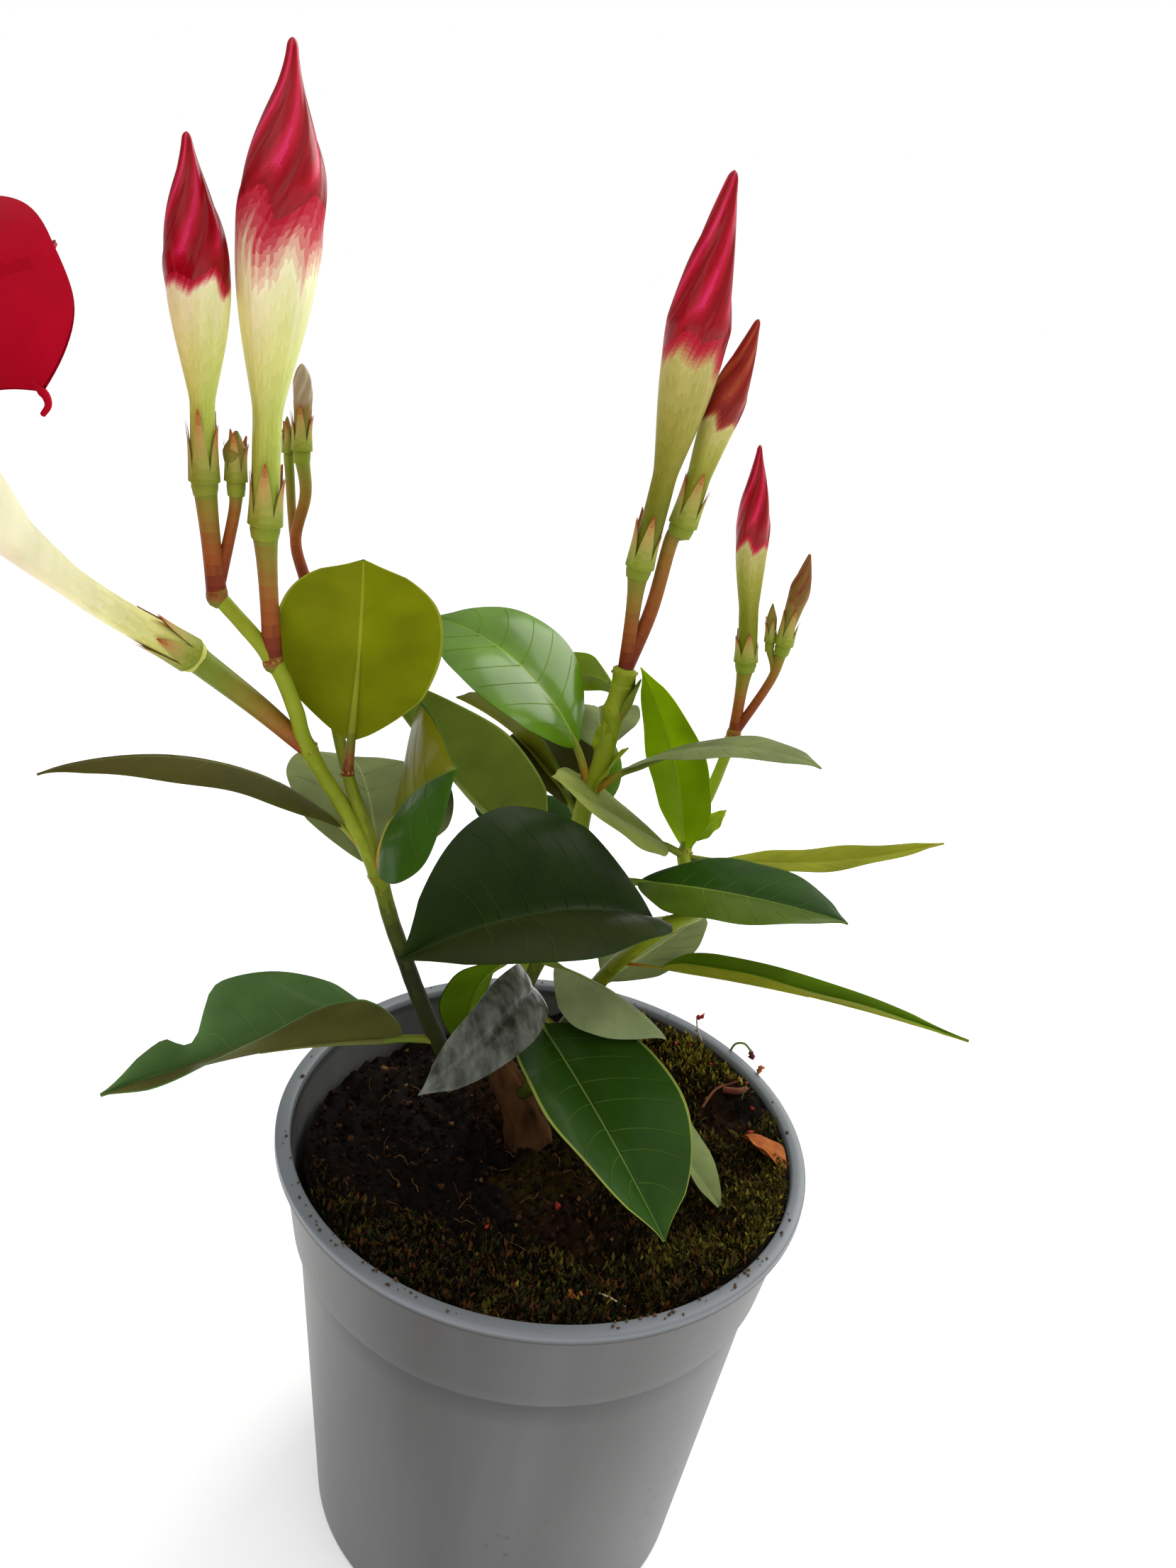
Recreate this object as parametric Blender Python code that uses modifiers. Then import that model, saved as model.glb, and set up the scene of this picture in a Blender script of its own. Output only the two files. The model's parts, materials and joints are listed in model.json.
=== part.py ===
"""Potted dipladenia: a young flowering plant in a 12 cm nursery pot.

Three shoots rise from one short woody stem. Each shoot is a chain of internodes, given by
heading and length, and every leaf, bud and flower is set out from a node by its own sizes.
Units are metres, +Z is up and the origin is the middle of the pot's underside.
"""
import math

import bmesh
import bpy
from mathutils import Vector

MM = 0.001
GAP = 0.3 * MM                   # clearance between neighbouring pieces

# ---------------------------------------------------------------- pot and soil
POT_HEIGHT = 110 * MM
RIM_RADIUS = 60 * MM
LIP_DEPTH = 2.6 * MM
LIP_OVERHANG = 1.8 * MM
COLLAR_DEPTH = 24 * MM
COLLAR_FOOT_RADIUS = 55.3 * MM
BODY_TOP_RADIUS = 53.9 * MM
BODY_FOOT_RADIUS = 46.3 * MM
COLLAR_LEDGE = 1.2 * MM          # height of the small step under the collar
FOOT_CHAMFER = 1.0 * MM
WALL = 1.5 * MM
FLOOR = 2.0 * MM
POT_SIDES = 48
DRAIN_HOLES = 8
DRAIN_RADIUS = 3.2 * MM
DRAIN_RING = 34 * MM

SOIL_TOP = 101 * MM              # level of the flat patch round the woody stem
SOIL_FALL = 0.055                # the surface rises towards the front of the pot
SOIL_BUMP = 0.9 * MM
SOIL_PATCH = 11 * MM
SOIL_RINGS = 9
SOIL_SIDES = 36

# ---------------------------------------------------------------- woody stem
TRUNK_FOOT = (-3.5 * MM, 4.5 * MM, SOIL_TOP + GAP)
TRUNK_STEPS = [(-177, 72, 9.0), (-177, 60, 15.2)]      # azimuth, rise, length in mm
TRUNK_RADII = (5.6 * MM, 3.9 * MM, 3.3 * MM)
TRUNK_BURIED = 4 * MM            # drawn this far below the ground, then cut off level with it
ROOT_FLARE = 1.15                # widening of the stem's foot

# ---------------------------------------------------------------- thickness of green parts
BLADE = 0.9 * MM                 # leaves
PETAL = 0.9 * MM
STALK_RADII = (1.2 * MM, 0.8 * MM)
RIB_SHARE = 0.3                  # how far the stalk runs on under the blade
STEM_SIDES = 2                   # bevel resolution of the stems and buds
STALK_SIDES = 1                  # bevel resolution of the leaf stalks
STALK_STEPS = 4
BLADE_ROWS = 5
BLADE_COLUMNS = 4
STEP_POINTS = 4                  # points that a tube has in each internode

# Each shoot: where on the woody stem it starts (0 foot, 1 top), its internodes as
# (node reached, azimuth, rise, length in mm) and its radius at both ends in mm.
SHOOTS = {
    "left": (0.8, [("low", -157, 21, 11.1), ("left_low", -142, 52, 10.7), ("left_bend", -158, 68, 28.5),
                   ("left_1", -155, 72, 15.6), ("left_2", -143, 64, 14.9), ("left_3", -127, 57, 20.6),
                   ("left_4", -122, 68, 9.6), ("left_5", -150, 65, 9.5), ("left_6", -168, 49, 14.2)],
             (2.0, 1.3)),
    "middle": (1.0, [("middle_low", 67, 46, 21.7), ("middle_1", 40, 66, 23.8), ("middle_2", 143, 84, 14.3),
                     ("middle_3", 48, 78, 6.5), ("middle_4", 0, 77, 8.3), ("middle_5", 0, 85, 13.0),
                     ("middle_6", 0, 84, 9.7)],
               (1.9, 2.3)),
    "right": (0.55, [("right_low", 58, 27, 20.7), ("right_1", 7, 64, 12.2), ("right_2", -41, 60, 12.3),
                     ("right_3", -40, 53, 19.4), ("right_4", 52, 2, 12.7), ("right_5", 108, 21, 15.8),
                     ("right_bend", 64, 53, 18.6), ("right_6", 46, 72, 13.1)],
              (2.0, 1.3)),
    "base": (0.5, [("base_low", -56, 56, 12.4), ("base_1", 159, 77, 18.3), ("base_2", 145, 28, 4.0),
                   ("base_3", 80, 43, 8.3)],
             (1.6, 1.1)),
}


def leaf(at, azimuth, rise, length, width, **shape):
    """A leaf's sizes: node, heading of its midrib in degrees, length and width in mm."""
    sizes = dict(at=at, azimuth=azimuth, rise=rise, length=length, width=width,
                 roll=0, arch=20, sweep=0, fold=8, twist=0, stalk=0.14, widest=0.45)
    sizes.update(shape)
    return sizes


def bud(at, stalk, azimuth, rise, length, radius, neck=0.40, nose=0.0, stalk_radius=1.3):
    """A bud's sizes: the internodes of its stalk, then its own heading, length and girth.

    neck is the narrow tube's share of the girth, nose how waisted the tip is, from 0 to 1."""
    return dict(at=at, stalk=stalk, azimuth=azimuth, rise=rise, length=length,
                radius=radius, neck=neck, nose=nose, stalk_radius=stalk_radius)


# ---------------------------------------------------------------- leaves, by mass
LEAVES = {
    "foliage_left": [
        leaf("left_1", -145, 25, 74, 21, roll=4, arch=77, sweep=3, fold=-20, twist=5, stalk=0.20),
        leaf("left_1", 112, 11, 45, 36, roll=8, arch=57, sweep=3, fold=10, stalk=0.04),
        leaf("left_1", -53, 52, 45, 36, roll=70, arch=32, sweep=30, fold=3, twist=35, stalk=0.39),
        leaf("inner_2", -76, 65, 52, 29, roll=-3, arch=41, sweep=3),
    ],
    "foliage_middle": [
        leaf("middle_1", -142, 45, 79, 29, roll=33, arch=-18, sweep=-11, fold=37, twist=-23,
             stalk=0.17, widest=0.49),
        leaf("middle_1", -24, 11, 64, 31, roll=2, arch=15, sweep=9, fold=4, twist=-9, stalk=0.24,
             widest=0.50),
        leaf("middle_1", 128, 6, 44, 26, arch=30),
        leaf("middle_2", 88, 18, 38, 16, roll=5, arch=5, sweep=6, twist=-4, stalk=0.07, widest=0.42),
        leaf("middle_2", 120, 13, 36, 24, arch=34, fold=21, twist=4, stalk=0.12),
        leaf("middle_2", 145, 23, 46, 25, roll=38, arch=39, fold=17, twist=3, stalk=0.20),
        leaf("middle_3", 165, 38, 59, 37, roll=-11, arch=85, fold=2, twist=-12, stalk=0.21, widest=0.51),
        leaf("middle_3", -30, 25, 60, 22, roll=-3, arch=56, sweep=7, fold=0, stalk=0.19),
        leaf("middle_4", 94, 1, 38, 20, roll=-8, arch=36, fold=14),
        leaf("middle_5", 123, -11, 46, 12, roll=56, arch=93, sweep=-3, stalk=0.27),
    ],
    "foliage_right": [
        leaf("right_1", 53, 6, 47, 23, roll=-6, arch=-6, sweep=4, fold=13, twist=-15, stalk=0.11,
             widest=0.42),
        leaf("right_2", -22, 8, 79, 12, roll=14, arch=16, fold=60, twist=20, widest=0.20),
        leaf("right_3", -129, 14, 81, 42, roll=-24, arch=24, sweep=-22, fold=31, twist=-15, stalk=0.07,
             widest=0.55),
        leaf("right_5", -13, 18, 60, 14, arch=-28),
        leaf("right_4", 70, 4, 44, 24, arch=30),
        leaf("right_5", -147, 32, 31, 20, roll=-10, arch=-6, sweep=-5, fold=3, twist=-4, widest=0.5),
        leaf("right_5", 177, 69, 48, 19, roll=51, sweep=19, fold=2, twist=9, stalk=0.04, widest=0.40),
        leaf("right_5", 32, 16, 18, 7, roll=13, sweep=-3, fold=11, twist=3, stalk=0.31),
    ],
    "foliage_base": [
        leaf("base_1", -55, -16, 60, 37, roll=-9, arch=12, fold=22, twist=-9, stalk=0.11),
        leaf("base_1", -19, -34, 63, 17, roll=-11, arch=25, fold=18, twist=14, stalk=0.45, widest=0.48),
        leaf("base_2", -110, -1, 55, 14, roll=-48, arch=139, sweep=-29, fold=5, widest=0.42),
        leaf("base_3", -25, -10, 37, 26, roll=-14, arch=26, sweep=16, fold=-26, twist=-3, stalk=0.19,
             widest=0.49),
        leaf("base_3", 141, -66, 40, 18, arch=71, sweep=4, fold=19),
    ],
    "leaf_low_left": [
        leaf("left_low", -147, 3, 70, 32, arch=23, sweep=-6, fold=51, twist=-71, stalk=0.12),
    ],
}

# ---------------------------------------------------------------- buds, by mass
BUDS = {
    "blooms_left": [
        bud("left_5", [(180, 85, 22.1)], -61, 84, 69.8, 6.2, neck=0.36, nose=1.0),
        bud("left_6", [(180, 83, 17.4)], -94, 83, 50.4, 4.7, nose=0.6),
        bud("left_6", [(45, 78, 13.4), (6, 86, 4.4)], 180, 89, 9.1, 1.9, neck=0.7, stalk_radius=0.8),
    ],
    "foliage_left": [
        bud("inner_4", [(159, 70, 8.3), (-1, 80, 9.1), (179, 82, 7.0)], 180, 88, 16.6, 1.8,
            neck=0.75, stalk_radius=0.9),
        bud("inner_4", [(139, 58, 8.6), (180, 84, 15.4)], 180, 86, 7.8, 1.0, neck=0.8, stalk_radius=0.7),
    ],
    "blooms_middle": [
        bud("middle_6", [(180, 89, 21.5)], -43, 83, 76.4, 6.1),
        bud("middle_6", [(28, 73, 14.0), (2, 83, 15.2), (0, 57, 3.0)], -14, 79, 43.2, 3.7, neck=0.66),
    ],
    "blooms_right": [
        bud("right_6", [(180, 89, 17.0)], 180, 83, 49.8, 3.7, neck=0.60, nose=0.4, stalk_radius=1.1),
        bud("right_6", [(0, 67, 15.7), (0, 81, 7.9)], -52, 84, 23.0, 2.3, neck=0.72, stalk_radius=0.9),
        bud("right_6", [(0, 67, 15.7), (150, 76, 8.0)], 180, 84, 10.2, 1.2, neck=0.8, stalk_radius=0.6),
    ],
}

# The inner side shoot that leaves the left shoot at its first node.
INNER_STEPS = [("inner_1", -135, 74, 10.2), ("inner_2", -135, 68, 15.3), ("inner_3", 124, 46, 21.1),
               ("inner_4", 129, 55, 18.0)]
INNER_RADII = (1.4, 1.0)

# ---------------------------------------------------------------- the open flower
FLOWER_AT = "left_3"
FLOWER_STALK = [(-160, 42, 11.9), (180, 33, 13.6)]
FLOWER_TUBE = [(-128, 35, 24.3), (-111, 40, 28.7)]
FLOWER_RADII = (3.0, 2.5, 2.5, 3.6, 7.5)      # calyx, narrow tube and throat, in mm
FLOWER_FACING = (-150, 15)                    # azimuth and rise of the throat's axis
BUD_TIP = 0.12                                # a bud's blunt tip, as a share of its girth
BUD_STEPS = 12
LOBES = 5
LOBE_TURN = 69
LOBE_LENGTH = 34.5 * MM
LOBE_HALF = 34                                # degrees a lobe fans out on either side
LOBE_CROWN = -0.2                             # where across it, from -1 to 1, it reaches furthest
LOBE_FALL = 0.5                               # share of its length lost at its far edge
LOBE_LIFT = 4.5 * MM                          # how far one edge stands over the other
LOBE_FLARE = (30, 97, 37)                     # angle at the throat, once spread, then curled on
LOBE_ROOT = (7.0 * MM, -1.2 * MM)             # out from the throat's axis and along it
LOBE_ROWS = 5
LOBE_COLUMNS = 6

# Where each shoot is cut into bough and masses: (name, node it starts 3 mm below).
PIECES = {
    "left": [("stem_left", None), ("foliage_left", "left_1"), ("blooms_left", "left_3")],
    "middle": [("stem_middle", None), ("foliage_middle", "middle_1"), ("blooms_middle", "middle_6")],
    "right": [("stem_right", None), ("foliage_right", "right_1"), ("blooms_right", "right_6")],
    "base": [("foliage_base", None)],
}
NODE_LEAD = 3 * MM
LONE_LEAF_START = 2.5 * MM       # from the middle of the stem to where a lone leaf's stalk starts

COLOURS = {                                   # base colour, roughness
    "pot": ((0.30, 0.33, 0.38), 0.5),
    "soil": ((0.06, 0.045, 0.03), 0.95),
    "trunk": ((0.22, 0.11, 0.06), 0.85),
    "stem": ((0.14, 0.22, 0.05), 0.5),
    "foliage": ((0.06, 0.16, 0.03), 0.4),
    "leaf": ((0.06, 0.16, 0.03), 0.4),
    "blooms": ((0.62, 0.05, 0.12), 0.45),
}


# ---------------------------------------------------------------- small helpers
def clear_scene():
    for item in list(bpy.data.objects):
        bpy.data.objects.remove(item, do_unlink=True)


def collection(name):
    group = bpy.data.collections.new(name)
    bpy.context.scene.collection.children.link(group)
    return group


def material(name):
    colour, roughness = COLOURS[name.split("_")[0]]
    paint = bpy.data.materials.new(name)
    paint.use_nodes = True
    shader = paint.node_tree.nodes["Principled BSDF"]
    shader.inputs["Base Color"].default_value = (*colour, 1.0)
    shader.inputs["Roughness"].default_value = roughness
    shader.inputs["Metallic"].default_value = 0.0
    return paint


def apply_modifiers(item):
    """Replace the object's mesh by what its modifiers make of it."""
    graph = bpy.context.evaluated_depsgraph_get()
    mesh = bpy.data.meshes.new_from_object(item.evaluated_get(graph))
    item.modifiers.clear()
    item.data = mesh


def heading(azimuth, rise):
    turn, lift = math.radians(azimuth), math.radians(rise)
    return Vector((math.cos(lift) * math.cos(turn), math.cos(lift) * math.sin(turn), math.sin(lift)))


def walk(start, steps):
    """Points reached from the start by each (..., azimuth, rise, length in mm) in turn."""
    points = [Vector(start)]
    for step in steps:
        azimuth, rise, length = step[-3:]
        points.append(points[-1] + heading(azimuth, rise) * length * MM)
    return points


def smooth(points, radii):
    """A curve through the points, as (point, radius) pairs, with radii shared out by length."""
    padded = [points[0] * 2 - points[1], *points, points[-1] * 2 - points[-2]]
    line = []
    for before, a, b, after in zip(padded, padded[1:], padded[2:], padded[3:]):
        for step in range(STEP_POINTS):
            t = step / STEP_POINTS
            line.append(((2 * a) + (b - before) * t + (2 * before - 5 * a + 4 * b - after) * t * t
                         + (3 * a - before - 3 * b + after) * t ** 3) / 2)
    line.append(points[-1])
    gone = [0.0]
    for a, b in zip(line, line[1:]):
        gone.append(gone[-1] + (b - a).length)
    return [(point, at_fraction(radii, done / gone[-1])) for point, done in zip(line, gone)]


def at_fraction(values, fraction):
    """The value that a fraction of the way along evenly spaced values has."""
    place = max(0.0, min(1.0, fraction)) * (len(values) - 1)
    first = min(int(place), len(values) - 2)
    return values[first] + (values[first + 1] - values[first]) * (place - first)


def stretch(line, start, end):
    """The part of a (point, radius) line between two distances along it."""
    gone, out = 0.0, []
    for (a, ra), (b, rb) in zip(line, line[1:]):
        length = (b - a).length
        for place in (start, end):
            if gone < place < gone + length:
                t = (place - gone) / length
                out.append((place, a.lerp(b, t), ra + (rb - ra) * t))
        if start <= gone <= end:
            out.append((gone, a, ra))
        gone += length
    if end >= gone:
        out.append((gone, *line[-1]))
    out.sort(key=lambda entry: entry[0])
    kept = [out[0]]
    for entry in out[1:]:
        if entry[0] - kept[-1][0] > 0.3 * MM:
            kept.append(entry)
        elif entry is out[-1]:
            kept[-1] = entry
    return [(point, radius) for _, point, radius in kept]


def distance_to(line, target):
    """How far along the line its nearest point to the target lies."""
    best, gone, found = None, 0.0, 0.0
    for (a, _), (b, _) in zip(line, line[1:]):
        length = (b - a).length
        t = max(0.0, min(1.0, (target - a).dot(b - a) / length ** 2))
        miss = (a.lerp(b, t) - target).length
        if best is None or miss < best:
            best, found = miss, gone + t * length
        gone += length
    return found


def tube(name, line, group, grow=0.0, sides=STEM_SIDES):
    """A solid along a (point, radius) line, from a curve with a round bevel and filled caps."""
    curve = bpy.data.curves.new(name, "CURVE")
    curve.dimensions = "3D"
    curve.bevel_depth = 1.0
    curve.bevel_resolution = sides
    curve.use_fill_caps = True
    spline = curve.splines.new("POLY")
    spline.points.add(len(line) - 1)
    for spot, (point, radius) in zip(spline.points, line):
        spot.co = (*point, 1.0)
        spot.radius = radius + grow
    drawn = bpy.data.objects.new(name + "_curve", curve)
    group.objects.link(drawn)
    graph = bpy.context.evaluated_depsgraph_get()
    mesh = bpy.data.meshes.new_from_object(drawn.evaluated_get(graph))
    bpy.data.objects.remove(drawn, do_unlink=True)
    shape = bmesh.new()
    shape.from_mesh(mesh)
    bmesh.ops.remove_doubles(shape, verts=shape.verts, dist=0.00001)
    bmesh.ops.recalc_face_normals(shape, faces=shape.faces)
    shape.to_mesh(mesh)
    shape.free()
    item = bpy.data.objects.new(name, mesh)
    group.objects.link(item)
    return item


def boolean(item, operation, other, solver="EXACT"):
    """Cut by an object, or fuse with a whole collection, and apply it."""
    change = item.modifiers.new(operation.lower(), "BOOLEAN")
    change.operation = operation
    change.solver = solver
    if isinstance(other, bpy.types.Collection):
        change.operand_type = "COLLECTION"
        change.collection = other
    else:
        change.object = other
    apply_modifiers(item)


# ---------------------------------------------------------------- blades
def blade_profile(t, widest):
    """Half width of a leaf as a share of its greatest, a share t along the blade."""
    if t < widest:
        a = t / widest
        return math.sqrt(1 - (1 - a) ** 2) * (0.55 + 0.45 * min(1.0, a * 2.2) ** 0.7)
    b = (t - widest) / (1 - widest)
    return (1 - b ** 1.9) * (1 - 0.5 * max(0.0, (b - 0.78) / 0.22))


def midrib(sizes, samples=48):
    """The midrib's points, directions and cross axes, from the node to the tip."""
    forward = heading(sizes["azimuth"], sizes["rise"])
    turn = math.radians(sizes["azimuth"])
    level = Vector((-math.sin(turn), math.cos(turn), 0.0))
    upward = forward.cross(level)
    roll = math.radians(sizes["roll"])
    side = level * math.cos(roll) + upward * math.sin(roll)
    top = upward * math.cos(roll) - level * math.sin(roll)
    arch, sweep = math.radians(sizes["arch"]), math.radians(sizes["sweep"])
    length = sizes["length"] * MM
    place, rows, last = Vector(NODES[sizes["at"]]), [], None
    for step in range(samples + 1):
        t = step / samples
        a, b = arch * (0.5 - t), sweep * (0.5 - t)
        way = forward * (math.cos(a) * math.cos(b)) + top * math.sin(a) + side * (math.cos(a) * math.sin(b))
        if last is not None:
            place = place + (way + last) / 2 * length / samples
        last = way
        cross = (side - way * way.dot(side)).normalized()
        rows.append((place, way.normalized(), cross, way.normalized().cross(cross)))
    return rows


def row_at(rows, t):
    place = t * (len(rows) - 1)
    first = min(int(place), len(rows) - 2)
    share = place - first
    return [a.lerp(b, share) for a, b in zip(rows[first], rows[first + 1])]


def leaf_blade(name, sizes, group):
    """A leaf's blade: a grid laid along the midrib, folded and twisted, then given thickness."""
    rows = midrib(sizes)
    stalk, fold = sizes["stalk"], math.radians(sizes["fold"])
    shape = bmesh.new()
    bmesh.ops.create_grid(shape, x_segments=BLADE_ROWS, y_segments=BLADE_COLUMNS, size=0.5)
    for vert in shape.verts:
        along = 0.02 + 0.965 * (vert.co.x + 0.5)
        across = vert.co.y * 2
        place, _, cross, top = row_at(rows, stalk + (1 - stalk) * along)
        twist = math.radians(sizes["twist"]) * (along - 0.5)
        cross, top = (cross * math.cos(twist) + top * math.sin(twist),
                      top * math.cos(twist) - cross * math.sin(twist))
        half = sizes["width"] / 2 * MM * blade_profile(along, sizes["widest"])
        reach = abs(across) * half
        vert.co = (place + cross * math.copysign(reach * math.cos(fold), across)
                   + top * reach * math.sin(fold))
    return thick_sheet(name, shape, BLADE, group)


def thick_sheet(name, shape, thickness, group):
    mesh = bpy.data.meshes.new(name)
    shape.to_mesh(mesh)
    shape.free()
    item = bpy.data.objects.new(name, mesh)
    group.objects.link(item)
    solid = item.modifiers.new("thickness", "SOLIDIFY")
    solid.thickness = thickness
    solid.offset = 0.0
    solid.use_even_offset = False
    apply_modifiers(item)
    return item


def leaf_stalk(name, sizes, group, start=0.0):
    """The leaf's stalk, which runs on under the blade as the first part of its midrib."""
    rows = midrib(sizes)
    end = sizes["stalk"] + RIB_SHARE * (1 - sizes["stalk"])
    line = [(row_at(rows, start + (end - start) * step / STALK_STEPS)[0],
             at_fraction(STALK_RADII, step / STALK_STEPS)) for step in range(STALK_STEPS + 1)]
    return tube(name, line, group, sides=STALK_SIDES)


# ---------------------------------------------------------------- buds and the open flower
def bud_girth(t, neck, nose):
    """Radius of a bud as a share of its greatest: narrow tube, swollen part, blunt tip."""
    if t < 0.65:
        swell = math.sin(math.pi / 2 * max(0.0, (t - 0.27) / 0.38)) ** 1.15
        return neck + (1 - neck) * swell
    point = (t - 0.65) / 0.35
    straight = 1 - point ** 1.12
    waisted = (1 + math.cos(math.pi * point ** 1.3)) / 2
    return BUD_TIP + (1 - BUD_TIP) * (straight + (waisted - straight) * nose)


def bud_solid(name, sizes, group):
    """A bud on its stalk, as one tube of changing girth."""
    line = smooth(walk(NODES[sizes["at"]], sizes["stalk"]), [sizes["stalk_radius"] * MM] * 2)
    foot = line[-1][0]
    way = heading(sizes["azimuth"], sizes["rise"])
    for step in range(1, BUD_STEPS + 1):
        t = step / BUD_STEPS
        line.append((foot + way * sizes["length"] * MM * t,
                     sizes["radius"] * MM * bud_girth(t, sizes["neck"], sizes["nose"])))
    return tube(name, line, group)


def flower_axes():
    axis = heading(*FLOWER_FACING)
    first = Vector((0, 0, 1)).cross(axis).normalized()
    return axis, first, axis.cross(first)


def flower_lobe(name, mouth, number, group):
    """One of the spreading lobes: a fan that flares from the throat and curls back."""
    axis, first, second = flower_axes()
    start, spread, curl = LOBE_FLARE
    samples = 24
    shape = bmesh.new()
    bmesh.ops.create_grid(shape, x_segments=LOBE_ROWS, y_segments=LOBE_COLUMNS, size=0.5)
    for vert in shape.verts:
        s, v = vert.co.x + 0.5, vert.co.y * 2
        turn = math.radians(LOBE_TURN + 360 / LOBES * number + LOBE_HALF * v)
        outward = first * math.cos(turn) + second * math.sin(turn)
        off_crown = abs(v - LOBE_CROWN) / (1 + abs(LOBE_CROWN))
        reach = s * (1 - LOBE_FALL * off_crown ** 3)
        out, up = LOBE_ROOT
        for step in range(samples):
            u = reach * (step + 0.5) / samples
            angle = math.radians(start + (spread - start) * min(1.0, u / 0.35)
                                 + curl * max(0.0, (u - 0.35) / 0.65) ** 1.5)
            out += math.sin(angle) * LOBE_LENGTH * reach / samples
            up += math.cos(angle) * LOBE_LENGTH * reach / samples
        vert.co = mouth + outward * out + axis * (up + LOBE_LIFT * v * s)
    return thick_sheet(name, shape, PETAL, group)


def open_flower(group):
    """The open flower: stalk, calyx and throat as one tube, then its lobes."""
    foot = walk(NODES[FLOWER_AT], FLOWER_STALK)
    line = smooth(foot, [1.5 * MM, 1.6 * MM])
    throat = smooth(walk(foot[-1], FLOWER_TUBE), [radius * MM for radius in FLOWER_RADII])
    pieces = [tube("flower_tube", line + throat[1:], group)]
    for number in range(LOBES):
        pieces.append(flower_lobe("flower_lobe", throat[-1][0], number, group))
    return pieces


# ---------------------------------------------------------------- pot, soil and woody stem
def turned(name, profile, group, sides=POT_SIDES):
    """A solid turned about Z from its (radius, height) profile, from the top down the outside."""
    mesh = bpy.data.meshes.new(name)
    edges = [(n, n + 1) for n in range(len(profile) - 1)]
    mesh.from_pydata([(radius, 0, height) for radius, height in profile], edges, [])
    item = bpy.data.objects.new(name, mesh)
    group.objects.link(item)
    screw = item.modifiers.new("turn", "SCREW")
    screw.steps = sides
    screw.render_steps = sides
    screw.use_merge_vertices = True
    screw.merge_threshold = 0.00005
    apply_modifiers(item)
    shape = bmesh.new()
    shape.from_mesh(item.data)
    bmesh.ops.remove_doubles(shape, verts=shape.verts, dist=0.00001)
    bmesh.ops.recalc_face_normals(shape, faces=shape.faces)
    shape.to_mesh(item.data)
    shape.free()
    return item


def inner_radius(height):
    """Radius of the pot's inner wall at a height below the collar."""
    share = height / (POT_HEIGHT - COLLAR_DEPTH)
    return BODY_FOOT_RADIUS + (BODY_TOP_RADIUS - BODY_FOOT_RADIUS) * share - WALL


def make_pot(group, cutters):
    step = POT_HEIGHT - COLLAR_DEPTH
    under_lip = RIM_RADIUS - LIP_OVERHANG
    under_step = step - COLLAR_LEDGE
    profile = [
        (under_lip - WALL, POT_HEIGHT),
        (RIM_RADIUS, POT_HEIGHT),
        (RIM_RADIUS, POT_HEIGHT - LIP_DEPTH),
        (under_lip, POT_HEIGHT - LIP_DEPTH),
        (COLLAR_FOOT_RADIUS, step),
        (BODY_TOP_RADIUS, under_step),
        (BODY_FOOT_RADIUS, FOOT_CHAMFER),
        (BODY_FOOT_RADIUS - FOOT_CHAMFER, 0),
        (0, 0),
        (0, FLOOR),
        (inner_radius(FLOOR), FLOOR),
        (inner_radius(under_step), under_step),
        (COLLAR_FOOT_RADIUS - WALL, step),
        (under_lip - WALL, POT_HEIGHT),
    ]
    pot = turned("pot", profile, group)
    for number in range(DRAIN_HOLES):
        angle = 2 * math.pi * (number + 0.5) / DRAIN_HOLES
        bpy.ops.mesh.primitive_cylinder_add(
            vertices=12, radius=DRAIN_RADIUS, depth=4 * FLOOR,
            location=(DRAIN_RING * math.cos(angle), DRAIN_RING * math.sin(angle), FLOOR / 2))
        drill = bpy.context.object
        drill.name = "drain_drill_%d" % number
        for owner in list(drill.users_collection):
            owner.objects.unlink(drill)
        cutters.objects.link(drill)
    boolean(pot, "DIFFERENCE", cutters)
    for drill in list(cutters.objects):
        bpy.data.objects.remove(drill, do_unlink=True)
    return pot


def soil_level(x, y):
    """Height of the soil's surface: flat round the woody stem, rising towards the front."""
    away = math.hypot(x - TRUNK_FOOT[0], y - TRUNK_FOOT[1])
    share = max(0.0, min(1.0, (away - SOIL_PATCH) / SOIL_PATCH))
    bumps = math.sin(x * 210 + 1.1) * math.cos(y * 170 + 0.4)
    return SOIL_TOP + share * (-SOIL_FALL * y + SOIL_BUMP * bumps)


def make_soil(group):
    """The pot's filling, whose top is a turned disc of rings pushed up and down."""
    step = POT_HEIGHT - COLLAR_DEPTH
    under_step = step - COLLAR_LEDGE
    edge = COLLAR_FOOT_RADIUS - WALL - GAP
    profile = [(edge * ring / SOIL_RINGS, SOIL_TOP) for ring in range(SOIL_RINGS + 1)]
    profile += [
        (edge, step),
        (inner_radius(under_step) - GAP, under_step),
        (inner_radius(FLOOR) - GAP, FLOOR + GAP),
        (0, FLOOR + GAP),
    ]
    soil = turned("soil", profile, group, SOIL_SIDES)
    for vert in soil.data.vertices:
        if vert.co.z > SOIL_TOP - MM:
            vert.co.z = soil_level(vert.co.x, vert.co.y)
    return soil


def trunk_line():
    points = walk(TRUNK_FOOT, TRUNK_STEPS)
    return smooth(points, TRUNK_RADII)


def make_trunk(group):
    """The woody stem, drawn from just below the ground and cut off level with it."""
    line = trunk_line()
    way = (line[1][0] - line[0][0]).normalized()
    buried = (line[0][0] - way * TRUNK_BURIED, TRUNK_RADII[0] * ROOT_FLARE)
    trunk = tube("trunk", [buried, *line], group)
    block = 40 * MM
    bpy.ops.mesh.primitive_cube_add(
        size=block, location=(TRUNK_FOOT[0], TRUNK_FOOT[1], TRUNK_FOOT[2] - block / 2))
    ground = bpy.context.object
    boolean(trunk, "DIFFERENCE", ground)
    bpy.data.objects.remove(ground, do_unlink=True)
    return trunk


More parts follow.
